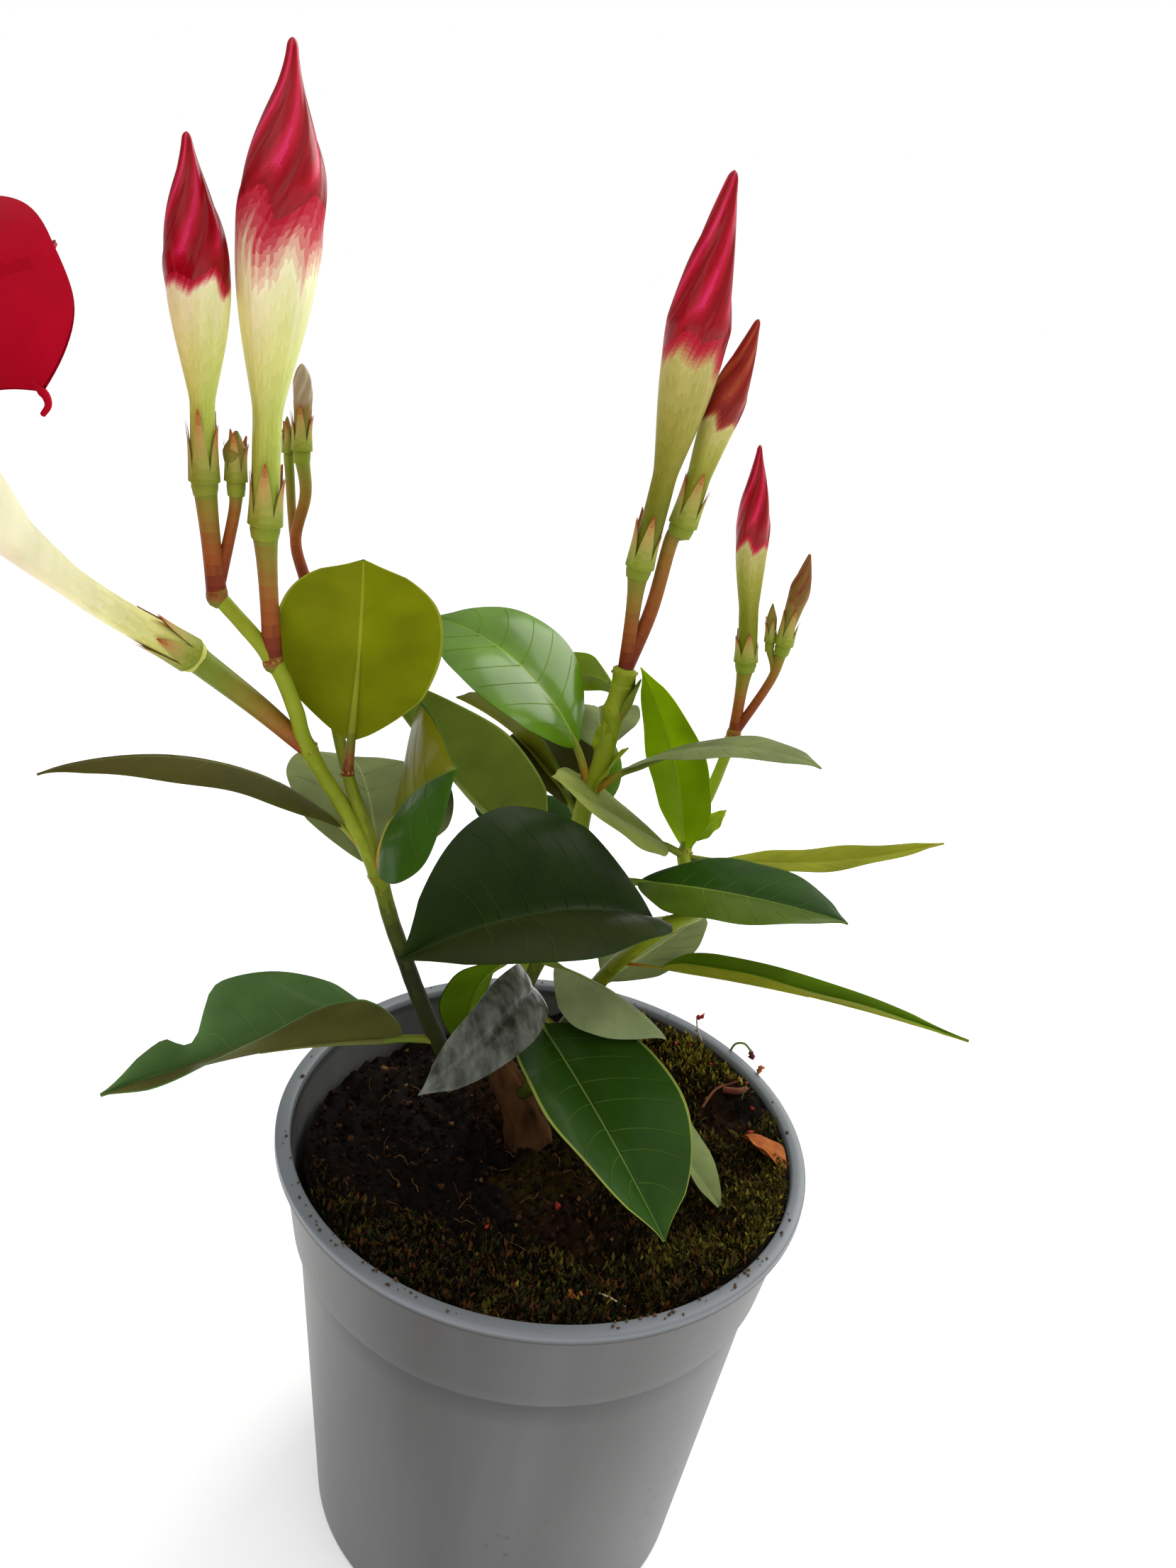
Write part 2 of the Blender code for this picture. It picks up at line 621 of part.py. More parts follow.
# ---------------------------------------------------------------- the plant
def shoot_line(name):
    start, steps, radii = SHOOTS[name]
    root = trunk_line()
    length = sum((b[0] - a[0]).length for a, b in zip(root, root[1:]))
    place = stretch(root, 0, length * start)[-1][0] if start < 1 else root[-1][0]
    points = walk(place, steps)
    for step, point in zip(steps, points[1:]):
        NODES[step[0]] = point
    return smooth(points, [radius * MM for radius in radii])


def keep_largest(item):
    """Drop loose scraps that a union leaves beside the piece."""
    shape = bmesh.new()
    shape.from_mesh(item.data)
    left, islands = set(shape.verts), []
    while left:
        island, edge = set(), [left.pop()]
        while edge:
            vert = edge.pop()
            island.add(vert)
            for link in vert.link_edges:
                other = link.other_vert(vert)
                if other in left:
                    left.remove(other)
                    edge.append(other)
        islands.append(island)
    islands.sort(key=len, reverse=True)
    for island in islands[1:]:
        bmesh.ops.delete(shape, geom=list(island), context="VERTS")
    shape.to_mesh(item.data)
    shape.free()


def fuse(item, others):
    """Join every piece of a mass into its stem in one union."""
    if others.objects:
        boolean(item, "UNION", others, "MANIFOLD")
        for other in list(others.objects):
            bpy.data.objects.remove(other, do_unlink=True)
    keep_largest(item)


def fill_mass(name, extras):
    """Add a mass's leaves, buds and flower to the collection that is fused with its stem."""
    for number, sizes in enumerate(LEAVES.get(name, [])):
        leaf_stalk("%s_stalk_%d" % (name, number), sizes, extras)
        leaf_blade("%s_blade_%d" % (name, number), sizes, extras)
    for number, sizes in enumerate(BUDS.get(name, [])):
        bud_solid("%s_bud_%d" % (name, number), sizes, extras)
    if name == "foliage_left":
        points = walk(NODES["left_1"], INNER_STEPS)
        tube("inner_shoot", smooth(points, [radius * MM for radius in INNER_RADII]), extras)
    if name == "blooms_left":
        open_flower(extras)


def lone_leaf(name, limb_line, group, extras):
    """A single leaf whose stalk stops just short of the stem that carries it."""
    sizes = LEAVES[name][0]
    start = LONE_LEAF_START / (sizes["length"] * MM)
    stalk = leaf_stalk(name, sizes, group, start)
    leaf_blade(name + "_blade", sizes, extras)
    fuse(stalk, extras)
    swollen = tube("swollen_limb", limb_line, extras, GAP)
    boolean(stalk, "DIFFERENCE", swollen)
    bpy.data.objects.remove(swollen, do_unlink=True)
    return stalk


def make_plant(group, extras):
    trunk = make_trunk(group)
    lines = {name: shoot_line(name) for name in SHOOTS}
    for step, point in zip(INNER_STEPS, walk(NODES["left_1"], INNER_STEPS)[1:]):
        NODES[step[0]] = point
    made = [trunk]
    for shoot, pieces in PIECES.items():
        line = lines[shoot]
        starts = [0.0 if node is None else distance_to(line, NODES[node]) - NODE_LEAD
                  for _, node in pieces] + [1.0]
        for (name, node), start, end in zip(pieces, starts, starts[1:]):
            lead = 0.0 if node is None else GAP
            limb = tube(name, stretch(line, start + lead, end), group)
            fill_mass(name, extras)
            fuse(limb, extras)
            if node is None:
                swollen = tube("swollen_trunk", grown_trunk(), extras)
                boolean(limb, "DIFFERENCE", swollen)
                bpy.data.objects.remove(swollen, do_unlink=True)
                keep_largest(limb)
            made.append(limb)
    made.append(lone_leaf("leaf_low_left", lines["left"], group, extras))
    return made


def grown_trunk():
    """The woody stem made a gap larger all round and longer at its top."""
    line = trunk_line()
    way = (line[-1][0] - line[-2][0]).normalized()
    foot = (line[1][0] - line[0][0]).normalized()
    grown = [(line[0][0] - foot * TRUNK_BURIED, TRUNK_RADII[0] * ROOT_FLARE + GAP)]
    grown += [(point, radius + GAP) for point, radius in line]
    grown.append((line[-1][0] + way * GAP, TRUNK_RADII[-1] + GAP))
    return grown


NODES = {}


def main():
    clear_scene()
    parts = collection("potted_dipladenia")
    cutters = collection("cutters")
    cutters.hide_render = True
    extras = collection("extras")
    made = [make_pot(parts, cutters), make_soil(parts)]
    made += make_plant(parts, extras)
    for item in made:
        item.data.materials.clear()
        item.data.materials.append(material(item.name))
    bpy.data.collections.remove(extras)
    bpy.data.collections.remove(cutters)


main()
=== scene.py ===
"""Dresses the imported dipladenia: every solid of the plant, its soil and its pot gets a finished surface."""

import json
import math
import random
from types import SimpleNamespace

import bmesh
import bpy
import numpy as np
from mathutils import Matrix, Vector, noise

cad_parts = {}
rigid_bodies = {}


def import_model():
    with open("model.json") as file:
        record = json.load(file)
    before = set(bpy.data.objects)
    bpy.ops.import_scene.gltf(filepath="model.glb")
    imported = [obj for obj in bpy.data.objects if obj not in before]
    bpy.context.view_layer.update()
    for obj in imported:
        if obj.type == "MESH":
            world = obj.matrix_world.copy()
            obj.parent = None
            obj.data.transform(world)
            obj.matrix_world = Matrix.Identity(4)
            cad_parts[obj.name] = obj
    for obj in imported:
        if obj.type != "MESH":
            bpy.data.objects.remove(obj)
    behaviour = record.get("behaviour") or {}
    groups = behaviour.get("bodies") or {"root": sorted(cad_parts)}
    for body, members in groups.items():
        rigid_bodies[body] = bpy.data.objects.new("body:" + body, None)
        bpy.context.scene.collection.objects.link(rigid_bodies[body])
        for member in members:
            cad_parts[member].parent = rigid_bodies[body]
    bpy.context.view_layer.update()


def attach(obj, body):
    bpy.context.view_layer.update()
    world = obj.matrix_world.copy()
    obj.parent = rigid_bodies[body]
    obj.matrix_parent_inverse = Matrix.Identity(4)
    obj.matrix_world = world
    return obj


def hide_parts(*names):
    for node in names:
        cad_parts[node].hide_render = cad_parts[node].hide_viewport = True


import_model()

MM = 0.001
UP = np.array([0.0, 0.0, 1.0])

# ---------------------------------------------------------------- pot and soil sizes, in mm
POT_HEIGHT = 110
RIM_RADIUS = 60
LIP_DEPTH, LIP_OVERHANG = 2.6, 1.8
COLLAR_DEPTH, COLLAR_FOOT_RADIUS = 24, 55.3
COLLAR_LEDGE = 1.2               # height of the small step under the collar
BODY_TOP_RADIUS, BODY_FOOT_RADIUS = 53.9, 46.3
EDGE = 0.5                       # rounding of the pot's edges
WALL, FLOOR = 1.5, 2.0
DRAIN_HOLES, DRAIN_RADIUS, DRAIN_RING = 8, 3.2, 34
SOIL_TOP = 101.0                 # level of the flat patch round the woody stem
SOIL_FALL = 0.055                # the surface rises towards the front of the pot
SOIL_BUMP, SOIL_PATCH = 0.9, 11
SOIL_REACH = COLLAR_FOOT_RADIUS - WALL - 0.3
BANK_HEIGHT, BANK_TURN = 8.5, 24                       # mm, degrees: the cushion of moss at the rim
CRUMBS, FIBRES, MOSS_BLADES, RIM_CRUMBS = 2600, 150, 22000, 120

# ---------------------------------------------------------------- woody stem and shoots
TRUNK_FOOT = (-3.5, 4.5, SOIL_TOP)                     # mm
TRUNK_STEPS = [(-177, 72, 9.0), (-177, 60, 15.2)]      # azimuth, rise, length in mm
TRUNK_RADII = (5.8, 3.9, 3.3)

# Each shoot: where on the woody stem it starts, its internodes as (node reached, azimuth,
# rise, length in mm) and its radius at both ends in mm.
SHOOTS = {
    "left": (0.8, [("low", -157, 21, 11.1), ("left_low", -142, 52, 10.7), ("left_bend", -158, 68, 28.5),
                   ("left_1", -155, 72, 15.6), ("left_2", -143, 64, 14.9), ("left_3", -127, 57, 20.6),
                   ("left_4", -122, 68, 9.6), ("left_5", -150, 65, 9.5), ("left_6", -168, 49, 14.2)],
             (2.0, 1.3)),
    "middle": (1.0, [("middle_low", 67, 46, 21.7), ("middle_1", 40, 66, 23.8), ("middle_2", 143, 84, 14.3),
                     ("middle_3", 48, 78, 6.5), ("middle_4", 0, 77, 8.3), ("middle_5", 0, 85, 13.0),
                     ("middle_6", 0, 84, 9.7)],
               (1.9, 2.3)),
    "right": (0.55, [("right_low", 58, 27, 20.7), ("right_1", 7, 64, 12.2), ("right_2", -41, 60, 12.3),
                     ("right_3", -40, 53, 19.4), ("right_4", 52, 2, 12.7), ("right_5", 108, 21, 15.8),
                     ("right_bend", 64, 53, 18.6), ("right_6", 46, 72, 13.1)],
              (2.0, 1.3)),
    "base": (0.5, [("base_low", -56, 56, 12.4), ("base_1", 159, 77, 18.3), ("base_2", 145, 28, 4.0),
                   ("base_3", 80, 43, 8.3)],
             (1.6, 1.1)),
}
INNER_STEPS = [("inner_1", -135, 74, 10.2), ("inner_2", -135, 68, 15.3), ("inner_3", 124, 46, 21.1),
               ("inner_4", 129, 55, 18.0)]
INNER_RADII = (1.4, 1.0)

# Where each shoot passes from bough to mass: (node of the frame, shoot's node it starts below).
PIECES = {
    "left": [("stem_left", None), ("foliage_left", "left_1"), ("blooms_left", "left_3")],
    "middle": [("stem_middle", None), ("foliage_middle", "middle_1"), ("blooms_middle", "middle_6")],
    "right": [("stem_right", None), ("foliage_right", "right_1"), ("blooms_right", "right_6")],
    "base": [("foliage_base", None)],
}
NODE_LEAD = 3.0                  # mm below the node
NODES = {}                       # where each node stands, filled in as the shoots are drawn


LEAF = dict(roll=0, arch=20, sweep=0, fold=8, twist=0, stalk=0.14, widest=0.45, veins=0.25, rib=0.3,
            margin=False, wave=0.3, stem="fresh", gloss=0.0, full=1.9, notch=None)
BUD = dict(neck=0.40, nose=0.0, stalk_radius=1.3, cap=0.60, blunt=1.12, fade=0.04, tip="crimson",
           tube="cream", sepals=7.5)


def leaf(at, azimuth, rise, length, width, upper, under, **shape):
    """A leaf's sizes, as in the solids, with the colours of its upper side (or of that side's two halves,
    painted in lit and shaded tones) and of its lower side."""
    return SimpleNamespace(**dict(LEAF, at=at, azimuth=azimuth, rise=rise, length=length, width=width,
                                  upper=upper, under=under, **shape))


def bud(at, stalk, azimuth, rise, length, radius, **shape):
    """A bud's sizes, as in the solids, with where its red cap starts, over what share of its length
    the red fades, and how long its sepals are."""
    return SimpleNamespace(**dict(BUD, at=at, stalk=stalk, azimuth=azimuth, rise=rise, length=length,
                                  radius=radius, **shape))


# ---------------------------------------------------------------- colours, as sRGB bytes
# The sage, mist, silver and teal tones are painted sheen: greys and bluish greens for the sky reflected in
# glossy leaves. The lime tone is painted light shining through a backlit leaf.
GREEN = {
    "night": (26, 42, 6), "forest": (38, 68, 14), "grass": (84, 122, 14), "leafy": (92, 122, 20),
    "glade": (48, 84, 16), "olive": (114, 122, 8), "bronze": (104, 108, 12), "rust": (104, 94, 34),
    "moss": (96, 112, 36), "sage": (112, 124, 76), "slate": (82, 82, 38), "lime": (164, 204, 12),
    "pale": (140, 150, 76), "khaki": (132, 136, 34), "sprout": (140, 156, 36),
    "dusk": (92, 106, 14), "teal_sheen": (88, 122, 66), "fern": (104, 138, 20),
    "mist": (142, 156, 110), "hazel": (84, 84, 40), "lit": (72, 94, 20),
    "gloam": (34, 42, 12), "bright": (146, 172, 24),
}
PALE_VEIN = (184, 190, 112)

LEAVES = {
    "foliage_left": [
        leaf("left_1", -145, 25, 74, 16, "slate", "rust", roll=4, arch=77, sweep=3, fold=-20, twist=5,
             stalk=0.20, stem="amber"),
        leaf("left_1", 112, 11, 45, 36, "sage", "moss", roll=8, arch=57, sweep=3, fold=10, stalk=0.04,
             veins=0.1),
        leaf("left_1", -53, 52, 45, 36, ("glade", "bronze"), "bronze", roll=70, arch=32, sweep=30,
             fold=3, twist=35, stalk=0.39, stem="amber", gloss=0.2),
        leaf("inner_2", -76, 65, 52, 29, "grass", "olive", roll=-3, arch=41, sweep=3, stem="russet",
             margin=True, full=2.5, veins=0.2),
    ],
    "foliage_middle": [
        leaf("middle_1", -142, 45, 79, 29, "grass", "moss", roll=33, arch=-18, sweep=-11, fold=37,
             twist=-23, stalk=0.17, widest=0.49, margin=True, stem="russet"),
        leaf("middle_1", -24, 11, 64, 31, ("lit", "forest"), "moss", roll=2, arch=15, sweep=9, fold=4,
             twist=-9, stalk=0.24, widest=0.50, gloss=0.12),
        leaf("middle_1", 128, 6, 44, 26, "forest", "moss", arch=30),
        leaf("middle_2", 88, 18, 38, 16, "grass", "bronze", roll=5, arch=5, sweep=6, twist=-4, stalk=0.07,
             widest=0.42),
        leaf("middle_2", 120, 13, 36, 24, "slate", "moss", arch=34, fold=21, twist=4, stalk=0.12),
        leaf("middle_2", 145, 23, 46, 25, "dusk", "bronze", roll=38, arch=39, fold=17, twist=3, stalk=0.20),
        leaf("middle_3", 165, 38, 59, 37, "grass", "olive", roll=-11, arch=85, fold=2, twist=-12,
             stalk=0.21, widest=0.51, stem="amber", gloss=0.45, veins=0.1, rib=0.4),
        leaf("middle_3", -30, 25, 60, 25, "sage", "moss", roll=-3, arch=56, sweep=7, fold=0, stalk=0.19,
             stem="amber"),
        leaf("middle_4", 94, 1, 38, 20, "sage", "moss", roll=-8, arch=36, fold=14),
        leaf("middle_5", 123, -11, 46, 12, "bright", "bright", roll=56, arch=93, sweep=-3, stalk=0.27),
        leaf("middle_3", -20, 62, 16, 6, "sprout", "sprout", roll=20, arch=10, stalk=0.05, veins=0),
        leaf("middle_4", -100, 74, 12, 5, "sprout", "sprout", arch=12, stalk=0.05, veins=0),
    ],
    "foliage_right": [
        leaf("right_1", 53, 6, 47, 23, "sage", "moss", roll=-6, arch=-6, sweep=4, fold=13, twist=-15,
             stalk=0.11, widest=0.42),
        leaf("right_2", -22, 8, 79, 10, "leafy", "khaki", roll=14, arch=16, fold=60, twist=20, widest=0.20,
             stem="amber"),
        leaf("right_3", -129, 14, 81, 42, ("night", "gloam"), "rust", roll=-24, arch=24, sweep=-22, fold=31,
             twist=-15, stalk=0.07, widest=0.55, stem="amber", veins=0.05, rib=0.06, gloss=0.06),
        leaf("right_5", -13, 18, 60, 14, "khaki", "khaki", arch=-28, veins=0.1),
        leaf("right_4", 70, -6, 34, 20, "forest", "moss", arch=30),
        leaf("right_5", -147, 32, 46, 27, "pale", "pale", roll=-10, arch=-6, sweep=-5, fold=3, twist=-4,
             widest=0.5, veins=0.1),
        leaf("right_5", 177, 69, 48, 19, "lime", "lime", roll=51, sweep=19, fold=2, twist=9, stalk=0.04,
             widest=0.40, veins=0.1),
        leaf("right_5", 32, 48, 15, 5, "sprout", "sprout", roll=13, sweep=-3, fold=11, twist=3, stalk=0.31),
    ],
    "foliage_base": [
        leaf("base_1", -55, -16, 60, 37, "forest", "moss", roll=-9, arch=12, fold=22, twist=-9, stalk=0.11,
             rib=0.45, margin=True, gloss=0.1, full=2.2),
        leaf("base_1", -19, -34, 63, 17, "sage", "moss", roll=-11, arch=25, fold=18, twist=14, stalk=0.45,
             widest=0.48),
        leaf("base_2", -110, -1, 55, 14, "silver", "slate", roll=-48, arch=139, sweep=-29, fold=5,
             widest=0.42, gloss=0.3, wave=0.6, full=2.3),
        leaf("base_3", -25, -10, 37, 26, "mist", "moss", roll=-14, arch=26, sweep=16, fold=-26, twist=-3,
             stalk=0.19, widest=0.49, veins=0.5),
        leaf("base_3", 141, -66, 40, 18, "forest", "fern", arch=71, sweep=4, fold=19),
    ],
    "leaf_low_left": [
        leaf("left_low", -147, 3, 70, 32, ("teal_sheen", "hazel"), "hazel", arch=23, sweep=-6, fold=51, twist=-71,
             stalk=0.12, veins=0.3, gloss=0.12, full=2.4, notch=(0.70, 0.62, 0.05, -1)),
    ],
}

BUDS = {
    "blooms_left": [
        bud("left_5", [(180, 85, 22.1)], -61, 84, 69.8, 6.2, neck=0.36, nose=1.0, cap=0.70, fade=0.15,
            sepals=9.5),
        bud("left_6", [(180, 83, 17.4)], -94, 83, 50.4, 4.7, nose=0.6, cap=0.63, sepals=10.5),
        bud("left_6", [(45, 78, 13.4), (6, 86, 4.4)], 180, 89, 9.1, 1.9, neck=0.7, stalk_radius=0.8,
            cap=0.9, tip="young", tube="young", sepals=7.0),
    ],
    "foliage_left": [
        bud("inner_4", [(159, 70, 8.3), (-1, 80, 9.1), (179, 82, 7.0)], 180, 88, 16.6, 1.7, neck=0.85,
            blunt=3.5, stalk_radius=0.9, cap=0.56, tip="buff", tube="young", sepals=7.5),
        bud("inner_4", [(139, 58, 8.6), (180, 84, 15.4)], 180, 86, 7.8, 1.0, neck=0.8, stalk_radius=0.7,
            cap=0.9, tip="young", tube="young", sepals=5.0),
    ],
    "blooms_middle": [
        bud("middle_6", [(180, 89, 21.5)], -43, 83, 76.4, 6.1, cap=0.61, fade=0.06, tube="olive",
            sepals=10.5),
        bud("middle_6", [(28, 73, 14.0), (2, 83, 15.2), (0, 57, 3.0)], -14, 79, 43.2, 3.7, neck=0.66,
            cap=0.55, tip="brick", tube="celery", sepals=10.5),
    ],
    "blooms_right": [
        bud("right_6", [(180, 89, 17.0)], 180, 83, 49.8, 3.7, neck=0.60, nose=0.4, stalk_radius=1.1,
            cap=0.58, tube="celery", sepals=6.5),
        bud("right_6", [(0, 67, 15.7), (0, 81, 7.9)], -52, 84, 23.0, 2.3, neck=0.72, stalk_radius=0.9,
            cap=0.52, tip="brown", tube="young", sepals=8.5),
        bud("right_6", [(0, 67, 15.7), (150, 76, 8.0)], 180, 84, 10.2, 1.2, neck=0.8, stalk_radius=0.6,
            cap=0.9, tip="young", tube="young", sepals=5.0),
    ],
}
BUD_TIP = 0.12                   # radius of a bud's tip, as a share of its greatest

# ---------------------------------------------------------------- the open flower
FLOWER_AT = "left_3"                                   # node
FLOWER_STALK = [(-160, 42, 11.9), (180, 33, 13.6)]     # azimuth, rise, length in mm
FLOWER_TUBE = [(-128, 35, 24.3), (-111, 40, 28.7)]
FLOWER_RADII = (2.9, 2.5, 2.4, 3.3, 6.7)               # mm, from the tube's foot to its mouth
FLOWER_FACING = (-150, 15)                             # azimuth, rise
LOBES, LOBE_LENGTH = 5, 37.5     # mm
LOBE_TURN = 61.7                 # degrees round the mouth, for the first lobe
LOBE_HALF = (28.7, 39.8)         # degrees, on the pointed side and on the other
LOBE_CROWN = -0.14               # where a lobe is longest, from -1 on the pointed side to 1
LOBE_FALL = (0.45, 0.26)         # how much shorter it is at the pointed side and at the other
LOBE_LIFT = 6.7                  # mm its corners stand before and behind the middle
LOBE_WAIST = 0.14                # how far the half on the pointed side draws in halfway out
LOBE_FLARE = (30, 89, 62)        # degrees from the facing: at the mouth, a third out, and the curl beyond
LOBE_ROOT = (6.3, -1.2)          # mm from the mouth's middle, outward and forward


# ---------------------------------------------------------------- materials
def linear(colour):
    """An sRGB byte colour as linear values."""
    shares = [byte / 255 for byte in colour]
    return [share / 12.92 if share <= 0.04045 else ((share + 0.055) / 1.055) ** 2.4 for share in shares]


def solid(colour):
    return (*linear(colour), 1)


def feed(tree, item, values):
    """Sets a node's inputs, each to a value or to the output that feeds it."""
    for name, value in values.items():
        if isinstance(value, bpy.types.NodeSocket):
            tree.links.new(value, item.inputs[name])
        else:
            item.inputs[name].default_value = value


def node(tree, kind, output, values=None, **options):
    """Adds a node and gives one of its outputs."""
    item = tree.nodes.new("ShaderNode" + kind)
    for name, value in options.items():
        setattr(item, name, value)
    feed(tree, item, values or {})
    return item.outputs[output]


def ranged(tree, value, low, high, start=0.0, end=1.0):
    return node(tree, "MapRange", "Result",
                {"Value": value, "From Min": low, "From Max": high, "To Min": start, "To Max": end})


def maths(tree, operation, first, second):
    return node(tree, "Math", "Value", {0: first, 1: second}, operation=operation)


def blended(tree, share, first, second, how="MIX"):
    return node(tree, "Mix", "Result", {"Factor": share, "A": first, "B": second},
                data_type="RGBA", blend_type=how)


PAINTS = {}


def paint(name, colour, rough=0.5, vary=0.18, scale=140.0, stretch=(1, 1, 1), bump=0.15, grain=900.0,
          coat=0.0, second=None, spec=0.25, patch=0.5):
    """A material whose colour drifts between two tones and whose surface has a fine grain."""
    if name in PAINTS:
        return PAINTS[name]
    made = PAINTS[name] = bpy.data.materials.new(name)
    made.use_nodes = True
    tree = made.node_tree
    low, high = solid(colour), solid(second or colour)
    if not second:
        low, high = [(*(c * share for c in linear(colour)), 1) for share in (1 - vary, 1 + 2 * vary)]
    place = node(tree, "Mapping", "Vector", {"Vector": node(tree, "TexCoord", "Object"), "Scale": stretch})
    drift = node(tree, "TexNoise", "Fac", {"Vector": place, "Scale": scale, "Detail": 4.0})
    fine = node(tree, "TexNoise", "Fac", {"Vector": place, "Scale": grain, "Detail": 3.0})
    feed(tree, tree.nodes["Principled BSDF"], {
        "Specular IOR Level": spec, "Coat Weight": coat, "Coat Roughness": 0.18,
        "Base Color": blended(tree, ranged(tree, drift, patch - 0.2, patch + 0.2), low, high),
        "Roughness": ranged(tree, drift, 0, 1, max(0.05, rough - 0.08), min(1.0, rough + 0.1)),
        "Normal": node(tree, "Bump", "Normal", {"Strength": bump, "Distance": 0.0004, "Height": fine})})
    return made


def mixed(colour, other, share):
    return tuple(a + (b - a) * share for a, b in zip(colour, other))


def green(name, gloss=0.0, pale=0.0):
    """A leaf's colour; pale mixes in the colour of its veins."""
    # The silver leaf is dark green streaked with pale grey, a painted reflection of the sky.
    if name == "silver":
        return paint("leaf_silver", (46, 50, 40), rough=0.3, second=(112, 116, 106), scale=420,
                     stretch=(1, 1, 0.12), bump=0.3, grain=700, coat=0.3, spec=0.1, patch=0.54)
    return paint("leaf_%s_%d_%d" % (name, round(gloss * 100), round(pale * 100)),
                 mixed(GREEN[name], PALE_VEIN, pale), rough=0.5 - 0.35 * gloss, vary=0.13, scale=90,
                 bump=0.10, grain=1400, coat=gloss, spec=0.03 + 0.05 * gloss)


def shades(name, colours, count, **finish):
    """Paints that run evenly through the given colours."""
    made = []
    for step in range(count):
        place = step / (count - 1) * (len(colours) - 1)
        first = min(int(place), len(colours) - 2)
        made.append(paint("%s_%d" % (name, step), mixed(colours[first], colours[first + 1], place - first),
                          vary=0.05, scale=260, **finish))
    return made


def pick_shade(paints, share, row=0, column=0, much=0.9):
    """The paint at a share of the run, dithered so that the steps don't show as bands."""
    jitter = much * noise.noise(Vector((column * 0.61, row * 0.10, len(paints) * 1.7)))
    return paints[int(min(max(share * (len(paints) - 1) + 0.5 + jitter, 0), len(paints) - 1))]


RUNS = {                         # name: colours from foot to tip, how many steps, roughness
    "stem": ([(44, 48, 16), (74, 84, 20), (122, 132, 26), (142, 156, 36)], 9, 0.45),
    "pedicel": ([(112, 42, 20), (150, 82, 34), (146, 118, 44), (122, 142, 46)], 14, 0.42),
    "amber": ([(156, 86, 30), (178, 132, 40), (144, 146, 48), (118, 136, 46)], 6, 0.42),
    "russet": ([(108, 50, 24), (136, 80, 34), (122, 112, 38), (110, 122, 38)], 6, 0.42),
    "fresh": ([(134, 134, 46), (122, 140, 46), (110, 132, 48)], 4, 0.42),
    "cream": ([(140, 156, 44), (182, 194, 84), (220, 222, 134), (246, 242, 196)], 12, 0.42),
    "olive": ([(96, 100, 12), (120, 118, 26), (156, 148, 60), (196, 184, 110)], 12, 0.42),
    "celery": ([(118, 128, 20), (134, 136, 34), (164, 162, 66), (204, 192, 124)], 10, 0.42),
    "young": ([(92, 114, 34), (128, 128, 50), (146, 116, 54)], 5, 0.5),
    # crimson runs from a deep red for the painted shade of a bud's cap to a pink for its painted highlight
    "crimson": ([(124, 2, 12), (158, 5, 24), (182, 14, 42), (216, 44, 92)], 8, 0.3),
    "satin": ([(154, 4, 20), (175, 8, 34), (188, 16, 50)], 5, 0.45),
    "brick": ([(124, 24, 20), (146, 42, 28), (162, 72, 44)], 5, 0.36),
    "brown": ([(124, 102, 40), (136, 84, 44), (120, 62, 38)], 5, 0.5),
    "buff": ([(150, 130, 96), (178, 164, 136)], 4, 0.5),
    "sepal": ([(134, 146, 44), (164, 164, 78), (190, 158, 88), (176, 84, 40)], 8, 0.5),
    "ivory": ([(176, 184, 70), (218, 218, 122), (246, 244, 186), (255, 252, 212)], 10, 0.42),
    "throat": ([(216, 168, 36), (230, 200, 90)], 3, 0.4),
}
STREAKED = {"cream", "ivory", "olive", "celery", "crimson", "brick", "satin"}


def run(name):
    colours, count, rough = RUNS[name]
    along = 0.2 if name in STREAKED else 1
    return shades(name, colours, count, rough=rough, stretch=(1, 1, along), grain=1500,
                  coat=0.25 if name == "crimson" else 0.0, spec=0.02 if name == "satin" else 0.15)


def blend_run(low, high):
    """The tones between the top of a pale tube and the foot of its red cap."""
    pale, red = RUNS[low][0][-1], RUNS[high][0][-2]
    return shades("%s_%s" % (low, high), [pale, mixed(pale, red, 0.3), mixed(pale, red, 0.75), red], 7,
                  rough=0.4, stretch=(1, 1, 0.2), grain=1500, spec=0.15)


# ---------------------------------------------------------------- mesh building
class Shape:
    """Grids and lumps gathered into one joined piece."""

    def __init__(self):
        self.verts, self.faces, self.slots, self.paints = [], [], [], []
        self.count = 0

    def slot(self, material):
        if material not in self.paints:
            self.paints.append(material)
        return self.paints.index(material)

    def grid(self, points, material, around=False):
        """A grid of quads over a rows x columns x 3 array, of one material or of one picked for each quad."""
        rows, columns = points.shape[:2]
        start = self.count
        self.verts.append(points.reshape(-1, 3))
        self.count += rows * columns
        many = callable(material)
        index = None if many else self.slot(material)
        last = columns if around else columns - 1
        for row in range(rows - 1):
            for column in range(last):
                a = start + row * columns + column
                b = start + row * columns + (column + 1) % columns
                self.faces.append((a, b, b + columns, a + columns))
                self.slots.append(self.slot(material(row, column)) if many else index)

    def lumps(self, points, faces, materials):
        """Loose faces given as index lists into an N x 3 array, with a material for each."""
        start = self.count
        self.verts.append(np.asarray(points, float).reshape(-1, 3))
        self.count += len(self.verts[-1])
        for face, material in zip(faces, materials):
            self.faces.append(tuple(start + corner for corner in face))
            self.slots.append(self.slot(material))

    def sheet(self, points_of, thick, material):
        """Both faces of a thin blade, from its points at a lift along its normal."""
        self.grid(points_of(thick), material)
        self.grid(points_of(-thick)[:, ::-1], material)

    def piece(self, name, slot, node):
        """Makes the mesh, in metres, and ties it to the frame."""
        mesh = bpy.data.meshes.new(name)
        mesh.from_pydata((np.concatenate(self.verts) * MM).tolist(), [], self.faces)
        for material in self.paints:
            mesh.materials.append(material)
        mesh.polygons.foreach_set("material_index", self.slots)
        mesh.polygons.foreach_set("use_smooth", [True] * len(self.faces))
        mesh.validate()
        mesh.update()
        item = added(name, mesh)
        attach(item, "root")
        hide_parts(node)


def added(name, data):
    item = bpy.data.objects.new(name, data)
    bpy.context.scene.collection.objects.link(item)
    return item


